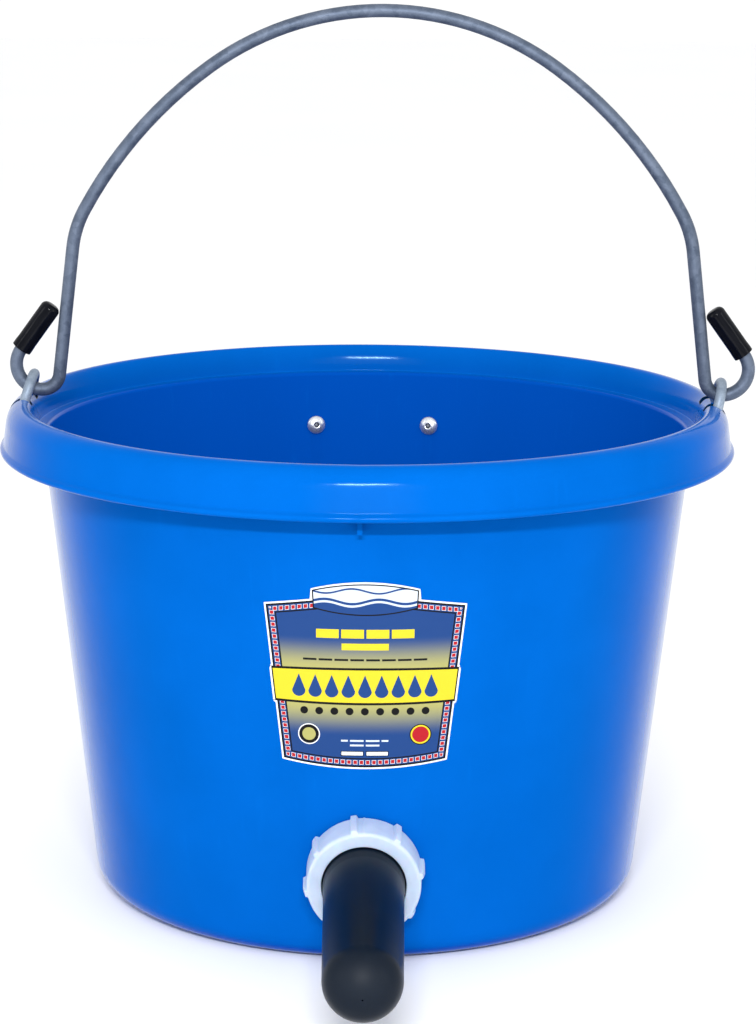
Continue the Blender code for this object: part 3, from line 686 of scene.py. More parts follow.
class Print:
    """Flat inks laid one over another on the label's film."""

    def __init__(self, look):
        self.look = look
        x, y, z = look.axes()
        self.up = z / MM
        reach = self.up * math.tan(WALL_TAPER) + BASE_RADIUS / MM
        self.along = (x.math("ARCTAN2", -y) - PORT_TURN) * reach
        self.side = abs(self.along)
        self.half = (self.up - LABEL_BOTTOM / MM) * LABEL_SLOPE + LABEL_BOTTOM_HALF / MM
        self.share = self.side / self.half
        self.middle = (BAND_BOTTOM + BAND_TOP) / 2.0 / MM
        shoulder = (1.0 - self.share) * (LABEL_SHOULDER_SLOPE / MM)
        self.from_top = shoulder + LABEL_TOP / MM - self.up
        glow = abs(self.up - self.middle).spread(6.0, 19.5, 1.0, 0.0, smooth=True)
        self.colour = look.mix(glow, INK["blue"], INK["khaki"])

    def ink(self, mask, name):
        self.colour = self.look.mix(mask, self.colour, INK[name])

    def border(self):
        """A white edge and a blue frame with red squares, between black lines."""
        bow = (1.0 - self.share * self.share) * (LABEL_BOW / MM)
        from_bottom = self.up - LABEL_BOTTOM / MM + bow
        from_side = self.half - self.side
        edge = from_bottom.least(self.from_top).least(from_side)
        for reach, name in BORDER_INKS:
            self.ink(edge.under(reach), name)
        on_side = from_side.under(from_bottom.least(self.from_top))
        run = self.up * on_side + self.along * (1.0 - on_side)
        tick = run.math("PINGPONG", TICK_PITCH / 2.0)
        for low, high, gap, name in TICK_INKS:
            self.ink(edge.between(low, high) * tick.over(gap), name)

    def bars(self):
        for low, high, half_row, repeat, gap, name in LABEL_BARS:
            mask = self.up.between(low, high) * self.side.under(half_row)
            if repeat:
                mask = mask * self.along.math("PINGPONG", repeat / 2.0).over(gap)
            self.ink(mask, name)

    def band(self):
        """A yellow band that narrows to its ends and stands out past the sides."""
        narrowing = self.share * self.share * 0.5
        low = self.up - BAND_BOTTOM / MM - narrowing
        high = BAND_TOP / MM - narrowing - self.up
        end = self.half + BAND_PROUD / MM - self.side
        within = low.least(high)
        self.ink(within.least(end).over(-0.2), "black")
        self.ink(within.over(0.0) * end.under(0.7), "white")
        self.ink(within.over(-0.1) * end.between(0.7, 1.2), "black")
        self.ink(within.over(0.7) * end.over(1.2), "yellow")

    def drops(self):
        """A row of drops on the band."""
        above = self.up - (self.middle - 1.9)
        foot = (DROP_ROUND ** 2 - above * above).math("SQRT") * above.under(0.0)
        point = (DROP_ROUND - above * (DROP_ROUND / DROP_POINT)) * above.over(0.0)
        drop = foot + point - self.along.math("PINGPONG", DROP_PITCH / 2.0)
        self.ink(drop.over(0.0) * self.side.under(DROP_ROW_HALF), "blue")

    def discs(self):
        for across, up, radius, name in LABEL_DISCS:
            aside = self.along - across
            above = self.up - up
            reach = (aside * aside + above * above).math("SQRT")
            self.ink(reach.under(radius), name)

    def tab(self):
        """A lens with waves in it on the tab, and white film round the lens."""
        flat = LABEL_TAB_SHARE
        dome = (1.0 - self.share * self.share / flat ** 2) * (LABEL_BOW / MM)
        top = dome + (LABEL_TOP + LABEL_TAB_RISE) / MM - self.up
        foot = self.up - TAB_FOOT + dome
        lens = top.least(foot).least((flat - self.share) * (LABEL_TOP_HALF / MM))
        inside = lens.over(1.2)
        wave = (self.along * WAVE_TURN).math("SINE") * WAVE_RISE
        self.ink(self.from_top.under(0.0), "white")
        self.ink(lens.over(0.7), "black")
        self.ink(inside, "pale")
        self.ink(inside * (self.up - wave).under(145.0), "blue")
        self.ink(inside * (self.up - wave).between(143.2, 144.0), "pale")
        self.ink(inside * (self.up + wave).between(148.2, 148.9), "blue")


def label_look():
    """A plain farm label: border, panel, band, tab and unlettered marks."""
    look = Look("label_print", Specular_IOR_Level=0.12)
    printed = Print(look)
    printed.border()
    printed.bars()
    printed.band()
    printed.drops()
    printed.discs()
    printed.tab()
    look.colour(printed.colour)
    grain = look.noise(0.7 * MM, 2.0)
    waves = look.noise(11 * MM, 2.0)
    look.vary("Roughness", (grain * 0.4 + waves * 0.6).opened(0.28, 0.42))
    look.bump(waves, 0.06 * MM)
    look.bump(grain, 0.006 * MM)
    return look.material


# ---- pail

def port_place():
    """Where the port's axis is, with local Z pointing out of the pail."""
    return Matrix.Rotation(PORT_TURN, 4, "Z") @ \
        Matrix.Translation((0.0, -wall_radius(PORT_HEIGHT), PORT_HEIGHT)) @ \
        Matrix.Rotation(math.radians(90.0) + WALL_TAPER, 4, "X")


def rivet_places():
    """The two rivets' places on the wall, with local Z along the wall's normal."""
    places = []
    radius = wall_radius(RIVET_HEIGHT)
    for side in (-1, 1):
        across = side * RIVET_SPACING / 2.0
        behind = math.sqrt(radius * radius - across * across)
        normal = Vector((across, behind, -radius * math.tan(WALL_TAPER))).normalized()
        places.append(Matrix.Translation((across, behind, RIVET_HEIGHT)) @ turn_to(normal))
    return places


def pail_outline():
    run = WALL / math.cos(WALL_TAPER)
    under = LEDGE_HEIGHT - WALL
    hollow = SKIRT_SHOULDER - 1.2 * MM
    hollow_reach = SKIRT_RADIUS - RIM_WALL - RIM_HOLLOW_RADIUS
    corners = [
        (0.0, 0.0, 0.0),
        (wall_radius(0.0), 0.0, BASE_CORNER),
        (wall_radius(under), under, 2.5 * MM),
        (LEDGE_RADIUS + 1.8 * MM, under, 1.0 * MM),
    ]
    corners += arc((RIM_HOLLOW_RADIUS, LEDGE_HEIGHT),
                   (3.6 * MM, RIM_HOLLOW_TOP - LEDGE_HEIGHT), 175, 90)
    corners += arc((RIM_HOLLOW_RADIUS, hollow), (hollow_reach, RIM_HOLLOW_TOP - hollow), 80, 0)
    corners += [
        (LIP_RADIUS - RIM_WALL - BEAD, LIP_HEIGHT + 3.0 * MM, 1.2 * MM),
        (LIP_RADIUS - RIM_WALL - 0.6 * MM, LIP_HEIGHT, 0.4 * MM),
    ]
    corners += arc((LIP_RADIUS - BEAD, LIP_HEIGHT + BEAD), (BEAD, BEAD), -88, 62)
    corners += [(LIP_RADIUS - BEAD, LIP_HEIGHT + 3.3 * MM, 0.9 * MM)]
    corners += arc((CREST_RADIUS, SKIRT_SHOULDER),
                   (SKIRT_RADIUS - CREST_RADIUS, CREST_HEIGHT - SKIRT_SHOULDER), 8, 90, 14)
    corners += arc((CREST_RADIUS, LEDGE_HEIGHT + 1.0 * MM),
                   (CREST_RADIUS - LEDGE_RADIUS, CREST_HEIGHT - LEDGE_HEIGHT - 1.0 * MM), 97, 180, 14)
    corners += [
        (LEDGE_RADIUS, LEDGE_HEIGHT, 0.4 * MM),
        (wall_radius(LEDGE_HEIGHT) - run, LEDGE_HEIGHT, 1.6 * MM),
        (wall_radius(FLOOR) - run, FLOOR, BASE_CORNER - WALL),
        (0.0, FLOOR, 0.0),
    ]
    return rounded(corners)


def pail_angles():
    """Even steps round the pail, with finer ones across the front mould line."""
    count = 288
    even = [360.0 * index / count for index in range(count)]
    near = 3.75
    fine = [270.0 - near + 0.25 * index for index in range(int(8 * near) + 1)]
    kept = [angle for angle in even if abs(angle - 270.0) > near + 0.01]
    return [math.radians(angle) for angle in sorted(kept + fine)]


def mould_line(radius, height, angle):
    """Sink the rim slightly where the mould's halves met, at the front."""
    on_rim = radius > LEDGE_RADIUS + 2.0 * MM and height > LIP_HEIGHT + 2.0 * MM
    if not on_rim or math.sin(angle) > -0.9:
        return radius, height
    across = radius * math.cos(angle)
    sink = SEAM_DEPTH * math.exp(-(across / SEAM_HALF_WIDTH) ** 2)
    return radius - sink * 0.6, height - sink * 0.6


def rim_rib():
    """The stiffening rib under the front of the rim, and where it stands."""
    top = LEDGE_HEIGHT - WALL + 1.0 * MM
    inside = 1.4 * MM
    corners = [
        (wall_radius(RIM_RIB_FOOT) - inside, RIM_RIB_FOOT, 0.0),
        (RIM_RIB_REACH, RIM_RIB_FOOT, 0.4 * MM),
        (RIM_RIB_REACH, top, 0.0),
        (wall_radius(top) - inside, top, 0.0),
    ]
    half = RIM_RIB_WIDTH / 2.0
    stand = Matrix(((0.0, 0.0, 1.0), (-1.0, 0.0, 0.0), (0.0, 1.0, 0.0))).to_4x4()
    return slab(rounded(corners), -half, half), stand


def slot_outline(centre_x, centre_y):
    half_x, half_y = EYE_SLOT_LENGTH / 2.0, EYE_SLOT_WIDTH / 2.0
    fillet = 1.4 * MM
    return rounded([(centre_x + sx * half_x, centre_y + sy * half_y, fillet)
                    for sx, sy in ((-1, -1), (1, -1), (1, 1), (-1, 1))])


def make_pail(look):
    pail = add_object("pail_moulding", turned(pail_outline(), angles=pail_angles(), reshape=mould_line))
    port = port_place()
    combine(pail, "UNION", "rib_tool", *rim_rib())
    inner = disc(INNER_PAD_RADIUS, INNER_PAD_FACE, INNER_PAD_FACE + 3.0 * MM, 0.4 * MM)
    combine(pail, "UNION", "inner_pad_tool", inner, port)
    outer = disc(OUTER_PAD_RADIUS, -1.9 * MM, OUTER_PAD_FACE, 0.3 * MM)
    combine(pail, "UNION", "outer_pad_tool", outer, port)
    hole = disc(STEM_RADIUS + THREAD_PLAY, -9.0 * MM, 4.0 * MM)
    combine(pail, "DIFFERENCE", "port_tool", hole, port)
    for joint in frame["joints"]:
        if not joint["name"].startswith("eye_"):
            continue
        for row in (-1, 1):
            outline = slot_outline(joint["pos_m"][0], row * EYE_HALF_WIDTH)
            slot = slab(outline, EYE_SLOT_FLOOR, CREST_HEIGHT + 3.0 * MM)
            combine(pail, "DIFFERENCE", f"slot_tool_{joint['name']}_{row}", slot)
    for index, place in enumerate(rivet_places()):
        hole = disc(SHANK_HOLE_RADIUS, -6.0 * MM, 6.0 * MM, segments=32)
        combine(pail, "DIFFERENCE", f"rivet_tool_{index}", hole, place)
    bake(pail)
    finish(pail, look, "root", "pail_plastic", "pail", sharp=28.0)


# ---- bail

def joint_place(name):
    for joint in frame["joints"]:
        if joint["name"] == name:
            return Vector(joint["pos_m"])


def bail_half():
    """The bail's +X half, from the crown to the end of its hook."""
    path = [Vector((0.0, 0.0, CROWN_HEIGHT))]
    heading = 0.0
    for radius, turn in SHOULDER_BENDS:
        heading = bend(path, heading, radius, -turn)
    path.append(path[-1] + LEG_LENGTH * direction(heading))
    for radius, turn in HOOK_BENDS:
        heading = bend(path, heading, radius, turn, 4.0)
    path.append(path[-1] + HOOK_TAIL * direction(heading))
    return path, heading


def make_bail(rod_look, cap_look):
    shift = Matrix.Translation((joint_place("bail_swing").x, 0.0, 0.0))
    half, heading = bail_half()
    path = [Vector((-point.x, 0.0, point.z)) for point in reversed(half[1:])] + half
    rod = swept(path, ROD_RADIUS, Vector((0.0, 1.0, 0.0)))
    add_piece("bail_rod", rod, shift, rod_look, "bail", "galvanised_rod", "bail")
    bore = ROD_RADIUS + GAP
    depth = CAP_LENGTH - CAP_END
    outline = rounded([
        (0.0, depth, 0.0),
        (bore, depth, 0.4 * MM),
        (bore, 0.0, 0.15 * MM),
        (CAP_RADIUS, 0.0, 0.2 * MM),
        (CAP_RADIUS, 2.0 * MM, 1.0 * MM),
        (CAP_RADIUS - 0.1 * MM, 4.0 * MM, 1.0 * MM),
        (CAP_RADIUS - 0.1 * MM, CAP_LENGTH - 0.2 * MM, 2.3 * MM),
        (0.0, CAP_LENGTH, 0.0),
    ])
    mouth = half[-1] - direction(heading) * (CAP_LENGTH - CAP_END - GAP)
    for side, label in ((-1, "left"), (1, "right")):
        aim = Vector((side * direction(heading).x, 0.0, direction(heading).z))
        place = shift @ Matrix.Translation((side * mouth.x, 0.0, mouth.z)) @ turn_to(aim)
        add_piece(f"bail_end_cap_{label}", turned(outline, 64), place, cap_look,
                  "bail", "cap_vinyl", f"bail_cap_{label}")


def eye_path():
    half = EYE_HALF_WIDTH
    corners = [(-half - EYE_KNEE - EYE_FOOT_LENGTH, 0.0, 0.0)]
    corners += arc((-half - EYE_KNEE, EYE_KNEE), (EYE_KNEE, EYE_KNEE), -90, 0, 8)
    corners += arc((0.0, EYE_RISE - half), (half, half), 180, 0, 32)
    corners += arc((half + EYE_KNEE, EYE_KNEE), (EYE_KNEE, EYE_KNEE), 180, 270, 8)
    corners += [(half + EYE_KNEE + EYE_FOOT_LENGTH, 0.0, 0.0)]
    return [Vector((0.0, across, rise)) for across, rise, _ in corners]


def make_eyes(look):
    for label, lean in EYE_LEANS.items():
        foot = joint_place(f"eye_{label}_rock")
        place = Matrix.Translation(foot) @ Matrix.Rotation(math.radians(lean), 4, "Y")
        wire = swept(eye_path(), EYE_WIRE_RADIUS, Vector((1.0, 0.0, 0.0)), 24)
        add_piece(f"eye_wire_{label}", wire, place, look,
                  f"eye_{label}", "galvanised_wire", f"bail_eye_{label}")


# ---- hanger

def hanger_path():
    """Points (reach, height) up the saddle, over the shelf and down the leg.

    They lie on the steel's face that is inside the saddle, on top of the shelf
    and outside the leg.
    """
    wall = wall_radius(SADDLE_TOP) + SADDLE_STANDOFF
    top = SHELF_HEIGHT + STEEL
    leg = HOOK_REACH + STEEL
    corners = [
        (wall_radius(SADDLE_FOOT) + SADDLE_STANDOFF, SADDLE_FOOT, 0.0),
        (wall, SADDLE_TOP, 0.0),
        (wall + 0.4 * MM, top, SHELF_BEND),
        (leg, top, HOOK_BEND),
        (leg, HOOK_FOOT + 8.0 * MM, 8.0 * MM),
        (leg + HOOK_FLARE, HOOK_FOOT, 0.0),
    ]
    points = rounded(corners, 8)
    fine = []
    for near, far in zip(points, points[1:]):
        count = max(1, math.ceil((far - near).length / (1.2 * MM)))
        fine += [near.lerp(far, index / count) for index in range(count)]
    return fine + [points[-1]]


def hanger_half_width(run, length, shoulder):
    """Half width of the sheet at a distance along it, with rounded corners."""
    def eased(distance, fillet):
        short = max(0.0, fillet - distance)
        return fillet - math.sqrt(max(0.0, fillet * fillet - short * short))

    wide = SADDLE_HALF_WIDTH - eased(run, SADDLE_CORNER)
    if run <= shoulder:
        return wide - eased(shoulder - run, NECK_CORNER)
    neck = HOOK_HALF_WIDTH + eased(run - shoulder, NECK_CORNER)
    return neck - eased(length - run, HOOK_CORNER)


def make_hanger(look):
    path = hanger_path()
    runs = [0.0]
    for near, far in zip(path, path[1:]):
        runs.append(runs[-1] + (far - near).length)
    shoulder = next(run for run, point in zip(runs, path) if point.y >= SADDLE_TOP - 0.01 * MM)
    columns = 48
    bm = bmesh.new()
    rows = []
    for run, point in zip(runs, path):
        half = hanger_half_width(run, runs[-1], shoulder)
        row = []
        for column in range(columns + 1):
            across = half * (2.0 * column / columns - 1.0)
            wall = wall_radius(min(point.y, SADDLE_TOP)) + SADDLE_STANDOFF
            hug = math.sqrt(wall * wall - across * across)
            reach = hug if run <= shoulder else max(hug, point.x)
            row.append(bm.verts.new((across, reach, point.y)))
        rows.append(row)
    for lower, upper in zip(rows, rows[1:]):
        bridge(bm, lower, upper, closed=False)
    hanger = add_object("hanger_steel", bm)
    saddle = [face.normal.y for face in hanger.data.polygons
              if face.center.z < SADDLE_TOP - 2.0 * MM
              and face.center.y < HOOK_REACH - 10.0 * MM]
    thicken = hanger.modifiers.new("steel", "SOLIDIFY")
    thicken.thickness = STEEL
    thicken.offset = math.copysign(1.0, sum(saddle))      # away from the wall
    thicken.use_even_offset = True
    edge = hanger.modifiers.new("edge", "BEVEL")
    edge.width = STEEL_EDGE
    edge.segments = 3
    edge.limit_method = "ANGLE"
    edge.angle_limit = math.radians(50.0)
    for index, place in enumerate(rivet_places()):
        hole = disc(SHANK_HOLE_RADIUS, -6.0 * MM, 8.0 * MM, segments=32)
        combine(hanger, "DIFFERENCE", f"hanger_tool_{index}", hole, place)
    bake(hanger)
    finish(hanger, look, "root", "bracket_steel", "hanger_bracket")


def rivet_outline():
    head_face = -WALL - RIVET_HEAD_STANDOFF
    bore = MANDREL_RADIUS + GAP
    dome = arc((0.0, head_face), (RIVET_HEAD_RADIUS, RIVET_HEAD_RISE), -70, -6)
    return rounded([(bore, dome[0][1] + 0.1 * MM, 0.0)] + dome + [
        (RIVET_HEAD_RADIUS, head_face, 0.1 * MM),
        (SHANK_RADIUS, head_face, 0.1 * MM),
        (SHANK_RADIUS, RIVET_TAIL_START, 0.1 * MM),
        (SHANK_RADIUS * 1.45, RIVET_TAIL_START + 0.3 * MM, 0.25 * MM),
        (SHANK_RADIUS * 1.35, RIVET_TAIL_END - 0.4 * MM, 0.5 * MM),
        (SHANK_RADIUS, RIVET_TAIL_END, 0.3 * MM),
        (bore, RIVET_TAIL_END, 0.1 * MM),
    ])


def mandrel_outline():
    break_face = 0.2 * MM - WALL - RIVET_HEAD_STANDOFF - RIVET_HEAD_RISE
    end = RIVET_TAIL_END + MANDREL_KNOB
    return rounded([
        (0.0, break_face, 0.0),
        (MANDREL_RADIUS, break_face, 0.15 * MM),
        (MANDREL_RADIUS, RIVET_TAIL_END + GAP, 0.0),
        (MANDREL_KNOB_RADIUS, RIVET_TAIL_END + GAP, 0.1 * MM),
        (MANDREL_KNOB_RADIUS, end - 0.6 * MM, 0.4 * MM),
        (0.8 * MM, end, 0.3 * MM),
        (0.0, end, 0.0),
    ])


def make_rivets(body_look, mandrel_look):
    for place, label in zip(rivet_places(), ("left", "right")):
        add_piece(f"blind_rivet_{label}", turned(rivet_outline(), 48), place, body_look,
                  "root", "rivet_metal", f"rivet_{label}")
        add_piece(f"broken_mandrel_{label}", turned(mandrel_outline(), 32), place, mandrel_look,
                  "root", "mandrel_steel", f"rivet_mandrel_{label}")


# ---- teat port

def flange_faces():
    outer = INNER_PAD_FACE - GAP - GASKET_THICKNESS - GAP
    return outer, outer - FLANGE_THICKNESS


def ball_height():
    seat = flange_faces()[1] + SEAT_THICKNESS
    reach = BALL_RADIUS + GAP
    return seat + math.sqrt(reach * reach - INLET_RADIUS * INLET_RADIUS)


def cage_face():
    return ball_height() + BALL_TRAVEL + BALL_RADIUS


def make_stem(look):
    outer, inner = flange_faces()
    seat = inner + SEAT_THICKNESS
    pocket = CAGE_RADIUS + GAP
    outline = rounded([
        (INLET_RADIUS, inner, 0.5 * MM),
        (FLANGE_RADIUS, inner, 0.9 * MM),
        (FLANGE_RADIUS, outer, 0.3 * MM),
        (STEM_RADIUS, outer, 0.2 * MM),
        (STEM_RADIUS, STEM_END, 0.6 * MM),
        (pocket, STEM_END, 0.3 * MM),
        (pocket, cage_face() - GAP, 0.1 * MM),
        (CHAMBER_RADIUS, cage_face() - GAP, 0.2 * MM),
        (CHAMBER_RADIUS, seat, 0.3 * MM),
        (INLET_RADIUS, seat, 0.3 * MM),
    ])
    add_piece("valve_stem", turned(outline, 128), port_place(), look,
              "root", "valve_plastic", "valve_body")


def make_gasket(look):
    outer = INNER_PAD_FACE - GAP
    inner = outer - GASKET_THICKNESS
    bore = STEM_RADIUS + THREAD_PLAY
    reach = FLANGE_RADIUS - 0.5 * MM
    outline = rounded([
        (bore, inner, 0.3 * MM),
        (reach, inner, 0.6 * MM),
        (reach, outer, 0.6 * MM),
        (bore, outer, 0.3 * MM),
    ])
    add_piece("gasket_ring", turned(outline, 128), port_place(), look,
              "root", "gasket_rubber", "valve_gasket")


def make_cage(look):
    inner = cage_face()
    outer = inner + CAGE_THICKNESS
    cage = add_object("cage_disc", disc(CAGE_RADIUS, inner, outer, 0.3 * MM), port_place())
    for index in range(CAGE_HOLES):
        angle = 2.0 * math.pi * index / CAGE_HOLES
        spot = Matrix.Translation((CAGE_HOLE_CIRCLE * math.cos(angle),
                                   CAGE_HOLE_CIRCLE * math.sin(angle), 0.0))
        hole = disc(CAGE_HOLE_RADIUS, inner - 1.0 * MM, outer + 1.0 * MM, segments=32)
        combine(cage, "DIFFERENCE", f"cage_tool_{index}", hole, port_place() @ spot)
    bake(cage)
    finish(cage, look, "root", "valve_plastic", "ball_cage")


def make_ball(look):
    """The ball, with the fine flash line that its mould left."""
    flash = 0.04 * MM
    lower = arc((0.0, 0.0), (BALL_RADIUS, BALL_RADIUS), -90, -2, 24)
    upper = arc((0.0, 0.0), (BALL_RADIUS, BALL_RADIUS), 2, 90, 24)
    outline = [Vector(corner[:2]) for corner in lower + [(BALL_RADIUS + flash, 0.0, 0.0)] + upper]
    outline[0].x = outline[-1].x = 0.0
    place = port_place() @ Matrix.Translation((0.0, 0.0, ball_height()))
    add_piece("check_ball", turned(outline, 64), place, look, "ball", "ball_plastic", "valve_ball")


def make_nut(look):
    back = OUTER_PAD_FACE + GAP
    front = back + NUT_DEPTH
    bore = STEM_RADIUS + THREAD_PLAY
    outline = rounded([
        (bore, back, 0.4 * MM),
        (NUT_RADIUS, back, 0.3 * MM),
        (NUT_RADIUS - 0.1 * MM, front - 5.0 * MM, 0.0),
        (NUT_RADIUS - 0.3 * MM, front, 1.5 * MM),
        (NUT_HOLE_RADIUS, front, 0.5 * MM),
        (NUT_HOLE_RADIUS, front - NUT_FACE, 0.2 * MM),
        (bore, front - NUT_FACE, 0.3 * MM),
    ], 7)

    def ribbed(radius, height, angle):
        """Smooth grip ribs that die out at the face, and a fine mould line."""
        on_side = clamp((radius - NUT_RADIUS + 1.2 * MM) / NUT_RIB_EASE)
        fade = clamp((front - 0.4 * MM - height) / (1.6 * MM))
        pitch = 2.0 * math.pi / NUT_RIBS
        turn = (angle - math.radians(NUT_RIB_START) + pitch / 2.0) % pitch - pitch / 2.0
        across = abs(turn) * NUT_RADIUS
        bump = clamp((NUT_RIB_WIDTH / 2.0 + NUT_RIB_EASE / 2.0 - across) / NUT_RIB_EASE)
        bump = bump * bump * (3.0 - 2.0 * bump)
        seam = abs((angle - math.radians(90.0) + math.pi) % (2.0 * math.pi) - math.pi) * NUT_RADIUS
        line = NUT_SEAM_RISE * math.exp(-(seam / NUT_SEAM_HALF_WIDTH) ** 2)
        return radius + on_side * fade * (NUT_RIB_RISE * bump + line), height

    add_piece("cap_nut", turned(outline, 480, reshape=ribbed), port_place(), look,
              "nut", "nut_plastic", "nipple_nut")


def make_teat(look):
    base = STEM_END + GAP
    top = base + TEAT_FLANGE_THICKNESS
    bore = TEAT_TIP_RADIUS - TEAT_WALL
    centre = TEAT_TIP - TEAT_TIP_RADIUS
    outer_tip = math.degrees(math.asin((TEAT_OUTLET_RADIUS + 0.1 * MM) / TEAT_TIP_RADIUS))
    inner_tip = math.degrees(math.asin(TEAT_OUTLET_RADIUS / bore))
    corners = [
        (bore, base, 0.5 * MM),
        (TEAT_FLANGE_RADIUS, base, 0.5 * MM),
        (TEAT_FLANGE_RADIUS, top, 0.5 * MM),
        (TEAT_NECK_RADIUS, top, 0.4 * MM),
        (TEAT_NECK_RADIUS, top + 5.0 * MM, 4.0 * MM),
        (TEAT_ROOT_RADIUS, top + 9.0 * MM, 6.0 * MM),
    ]
    corners += arc((0.0, centre), (TEAT_TIP_RADIUS, TEAT_TIP_RADIUS), 0, 90 - outer_tip, 24)
    corners += [(TEAT_OUTLET_RADIUS, corners[-1][1] - 0.1 * MM, 0.0)]
    corners += arc((0.0, centre), (bore, bore), 90 - inner_tip, 0, 20)
    bm = turned(rounded(corners, 8), 128)
    bm.transform(port_place())
    add_piece("teat", bm, None, look, "root", "teat_rubber", "nipple")


# ---- label

def label_edges(share, height):
    """Half width of the label at a height, with the band's ends standing out."""
    half = LABEL_BOTTOM_HALF + LABEL_SLOPE * (min(height, LABEL_TOP) - LABEL_BOTTOM)
    in_band = BAND_BOTTOM - 0.6 * MM < height < BAND_TOP + 0.6 * MM
    if in_band and abs(share) > 0.97:
        half += BAND_PROUD
    return half


def label_top(share):
    if abs(share) > LABEL_TAB_SHARE + 0.005:
        return LABEL_TOP + LABEL_SHOULDER_SLOPE * (1.0 - abs(share))
    return LABEL_TOP + LABEL_TAB_RISE + LABEL_BOW * (1.0 - (share / LABEL_TAB_SHARE) ** 2)


def make_label(look):
    """The film as a grid wrapped on the cone, with a closed thin edge."""
    side = [1.0 - 0.03 * index / 2.0 for index in range(3)]
    side += [0.97 - (0.97 - LABEL_TAB_SHARE - 0.01) * index / 14 for index in range(1, 15)]
    side += [LABEL_TAB_SHARE * (1.0 - index / 18) for index in range(18)]
    shares = [-share for share in side] + [0.0] + list(reversed(side))
    band_edges = (BAND_BOTTOM - 0.6 * MM, BAND_TOP + 0.6 * MM)
    steps = 48
    bm = bmesh.new()
    layers = []
    for lift in (LABEL_LIFT, LABEL_LIFT + LABEL_FILM):
        layer = []
        for share in shares:
            low = LABEL_BOTTOM - LABEL_BOW * (1.0 - share * share)
            high = label_top(share)
            heights = [low + (high - low) * step / steps for step in range(steps + 1)]
            for edge in band_edges:
                nearest = min(range(1, steps), key=lambda step: abs(heights[step] - edge))
                heights[nearest] = edge
            column = []
            for height in heights:
                radius = wall_radius(height) + lift
                angle = share * label_edges(share, height) / wall_radius(height) + PORT_TURN
                column.append(bm.verts.new((radius * math.sin(angle),
                                            -radius * math.cos(angle), height)))
            layer.append(column)
        layers.append(layer)
    for layer, flip in zip(layers, (True, False)):
        for left, right in zip(layer, layer[1:]):
            for step in range(steps):
                corners = [left[step], right[step], right[step + 1], left[step + 1]]
                bm.faces.new(list(reversed(corners)) if flip else corners)
    edges = []
    for layer in layers:
        bottom = [column[0] for column in layer]
        top = [column[-1] for column in layer[-2::-1]]
        edges.append(bottom + layer[-1][1:] + top + layer[0][-2:0:-1])
    bridge(bm, *edges)
    add_piece("label_print", bm, None, look, "root", "label_film", "label")


# ---- studio

CAMERA_REACH = 1182.7 * MM        # from the pail's axis
CAMERA_HEIGHT = 406.1 * MM
CAMERA_TURN = math.radians(1.05)   # round the axis, towards +X
CAMERA_DIP = math.radians(12.527)
CAMERA_ROLL = math.radians(0.322)
CAMERA_LENS = 105.7               # for a 36 mm sensor on the long side
CAMERA_SHIFT = (0.0110, 0.0179)
SKY_STRENGTH = 1.05
FLOOR_RADIUS = 6.0

# Soft lights: name, place, height aimed at on the pail's axis, size, watts.
SOFTBOXES = (
    ("key", (0.0, -1.15, 0.65), 0.15, (0.34, 0.03), 12.0),
    ("left_strip", (-1.3, -0.75, 0.6), 0.12, (0.10, 1.0), 3.0),
    ("right_strip", (1.3, -0.75, 0.6), 0.12, (0.10, 1.0), 3.0),
)


def add_camera():
    camera = link_object("camera", bpy.data.cameras.new("camera"))
    camera.data.lens = CAMERA_LENS
    camera.data.sensor_width = 36.0
    camera.data.shift_x, camera.data.shift_y = CAMERA_SHIFT
    camera.data.clip_start = 0.05
    camera.data.clip_end = 20.0
    spot = Vector((CAMERA_REACH * math.sin(CAMERA_TURN), -CAMERA_REACH * math.cos(CAMERA_TURN),
                   CAMERA_HEIGHT))
    camera.matrix_world = Matrix.Translation(spot) @ \
        Matrix.Rotation(CAMERA_TURN, 4, "Z") @ \
        Matrix.Rotation(math.radians(90.0) - CAMERA_DIP, 4, "X") @ \
        Matrix.Rotation(CAMERA_ROLL, 4, "Z")
    bpy.context.scene.camera = camera


def add_softbox(name, spot, aim_height, size, power):
    light = bpy.data.lights.new(name, "AREA")
    light.shape = "RECTANGLE"
    light.size, light.size_y = size
    light.energy = power
    made = link_object(name, light)
    made.location = spot
    made.rotation_mode = "QUATERNION"
    aim = Vector((0.0, 0.0, aim_height)) - Vector(spot)
    made.rotation_quaternion = aim.to_track_quat("-Z", "Y")


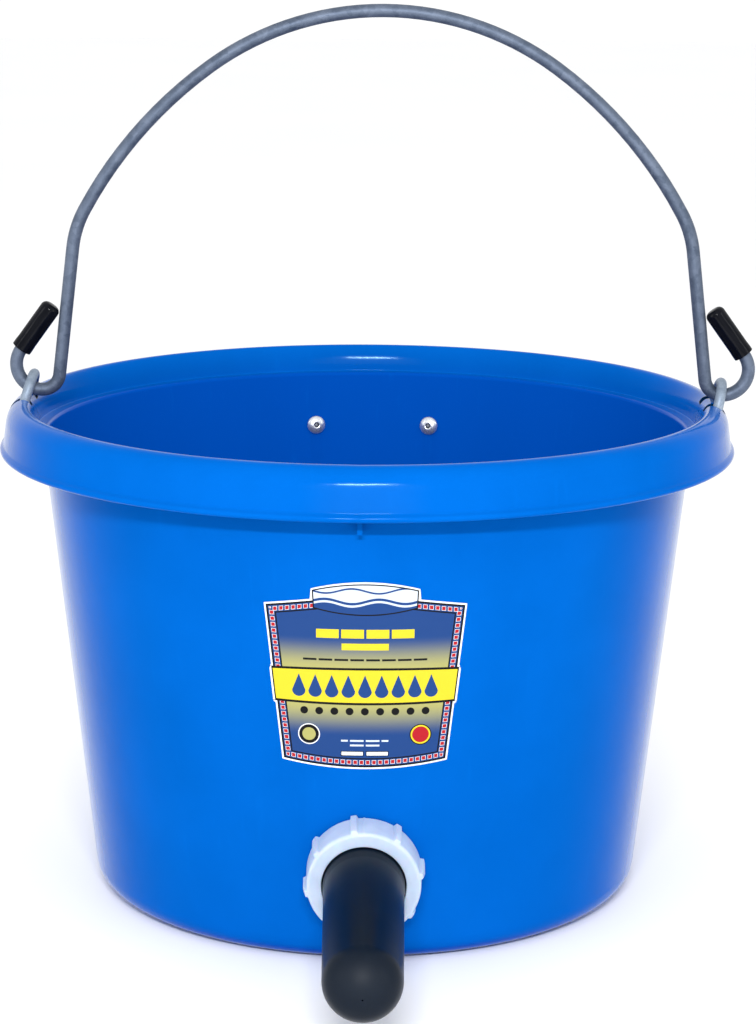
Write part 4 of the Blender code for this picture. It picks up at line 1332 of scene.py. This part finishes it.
def add_floor():
    bm = bmesh.new()
    bmesh.ops.create_circle(bm, cap_ends=True, segments=96, radius=FLOOR_RADIUS)
    floor = add_object("studio_floor", bm)
    floor.location.z = -0.2 * MM
    look = Look("studio_floor", Roughness=0.6, Specular_IOR_Level=0.2)
    cloud = look.noise(0.4, 2.0)
    look.colour(look.mix(cloud, (0.93, 0.935, 0.945), (0.965, 0.968, 0.975)))
    floor.data.materials.append(look.material)


def add_studio():
    """White surroundings, a compact front key and a tall strip light on either side."""
    scene = bpy.context.scene
    scene.view_settings.view_transform = "Standard"
    world = bpy.data.worlds.new("studio")
    world.use_nodes = True
    sky = world.node_tree.nodes["Background"]
    sky.inputs["Color"].default_value = (1.0, 1.0, 1.0, 1.0)
    sky.inputs["Strength"].default_value = SKY_STRENGTH
    scene.world = world
    for softbox in SOFTBOXES:
        add_softbox(*softbox)


# ---- main

def main():
    rod_look = galvanised_look("galvanised_rod", (0.052, 0.072, 0.112), (0.127, 0.157, 0.217))
    wire_look = galvanised_look("galvanised_wire", (0.150, 0.195, 0.260), (0.340, 0.405, 0.490))
    make_pail(pail_look())
    make_bail(rod_look, vinyl_look())
    make_eyes(wire_look)
    make_hanger(sheet_steel_look())
    make_rivets(rivet_look("rivet_metal", (0.55, 0.57, 0.62), (0.72, 0.74, 0.78), 0.30),
                rivet_look("mandrel_steel", (0.10, 0.11, 0.13), (0.20, 0.21, 0.24), 0.40))
    valve_look = milky_look("valve_plastic", (0.46, 0.50, 0.56), (0.54, 0.58, 0.63), 0.8 * MM)
    seal_look = gasket_look()
    ball_look = milky_look("ball_plastic", (0.50, 0.50, 0.49), (0.58, 0.58, 0.56), 0.5 * MM)
    make_stem(valve_look)
    make_gasket(seal_look)
    make_cage(valve_look)
    make_ball(ball_look)
    make_nut(milky_look("nut_plastic", (0.395, 0.48, 0.62), (0.465, 0.55, 0.69), 1.2 * MM))
    make_teat(teat_look())
    make_label(label_look())
    add_floor()
    add_camera()
    add_studio()


main()
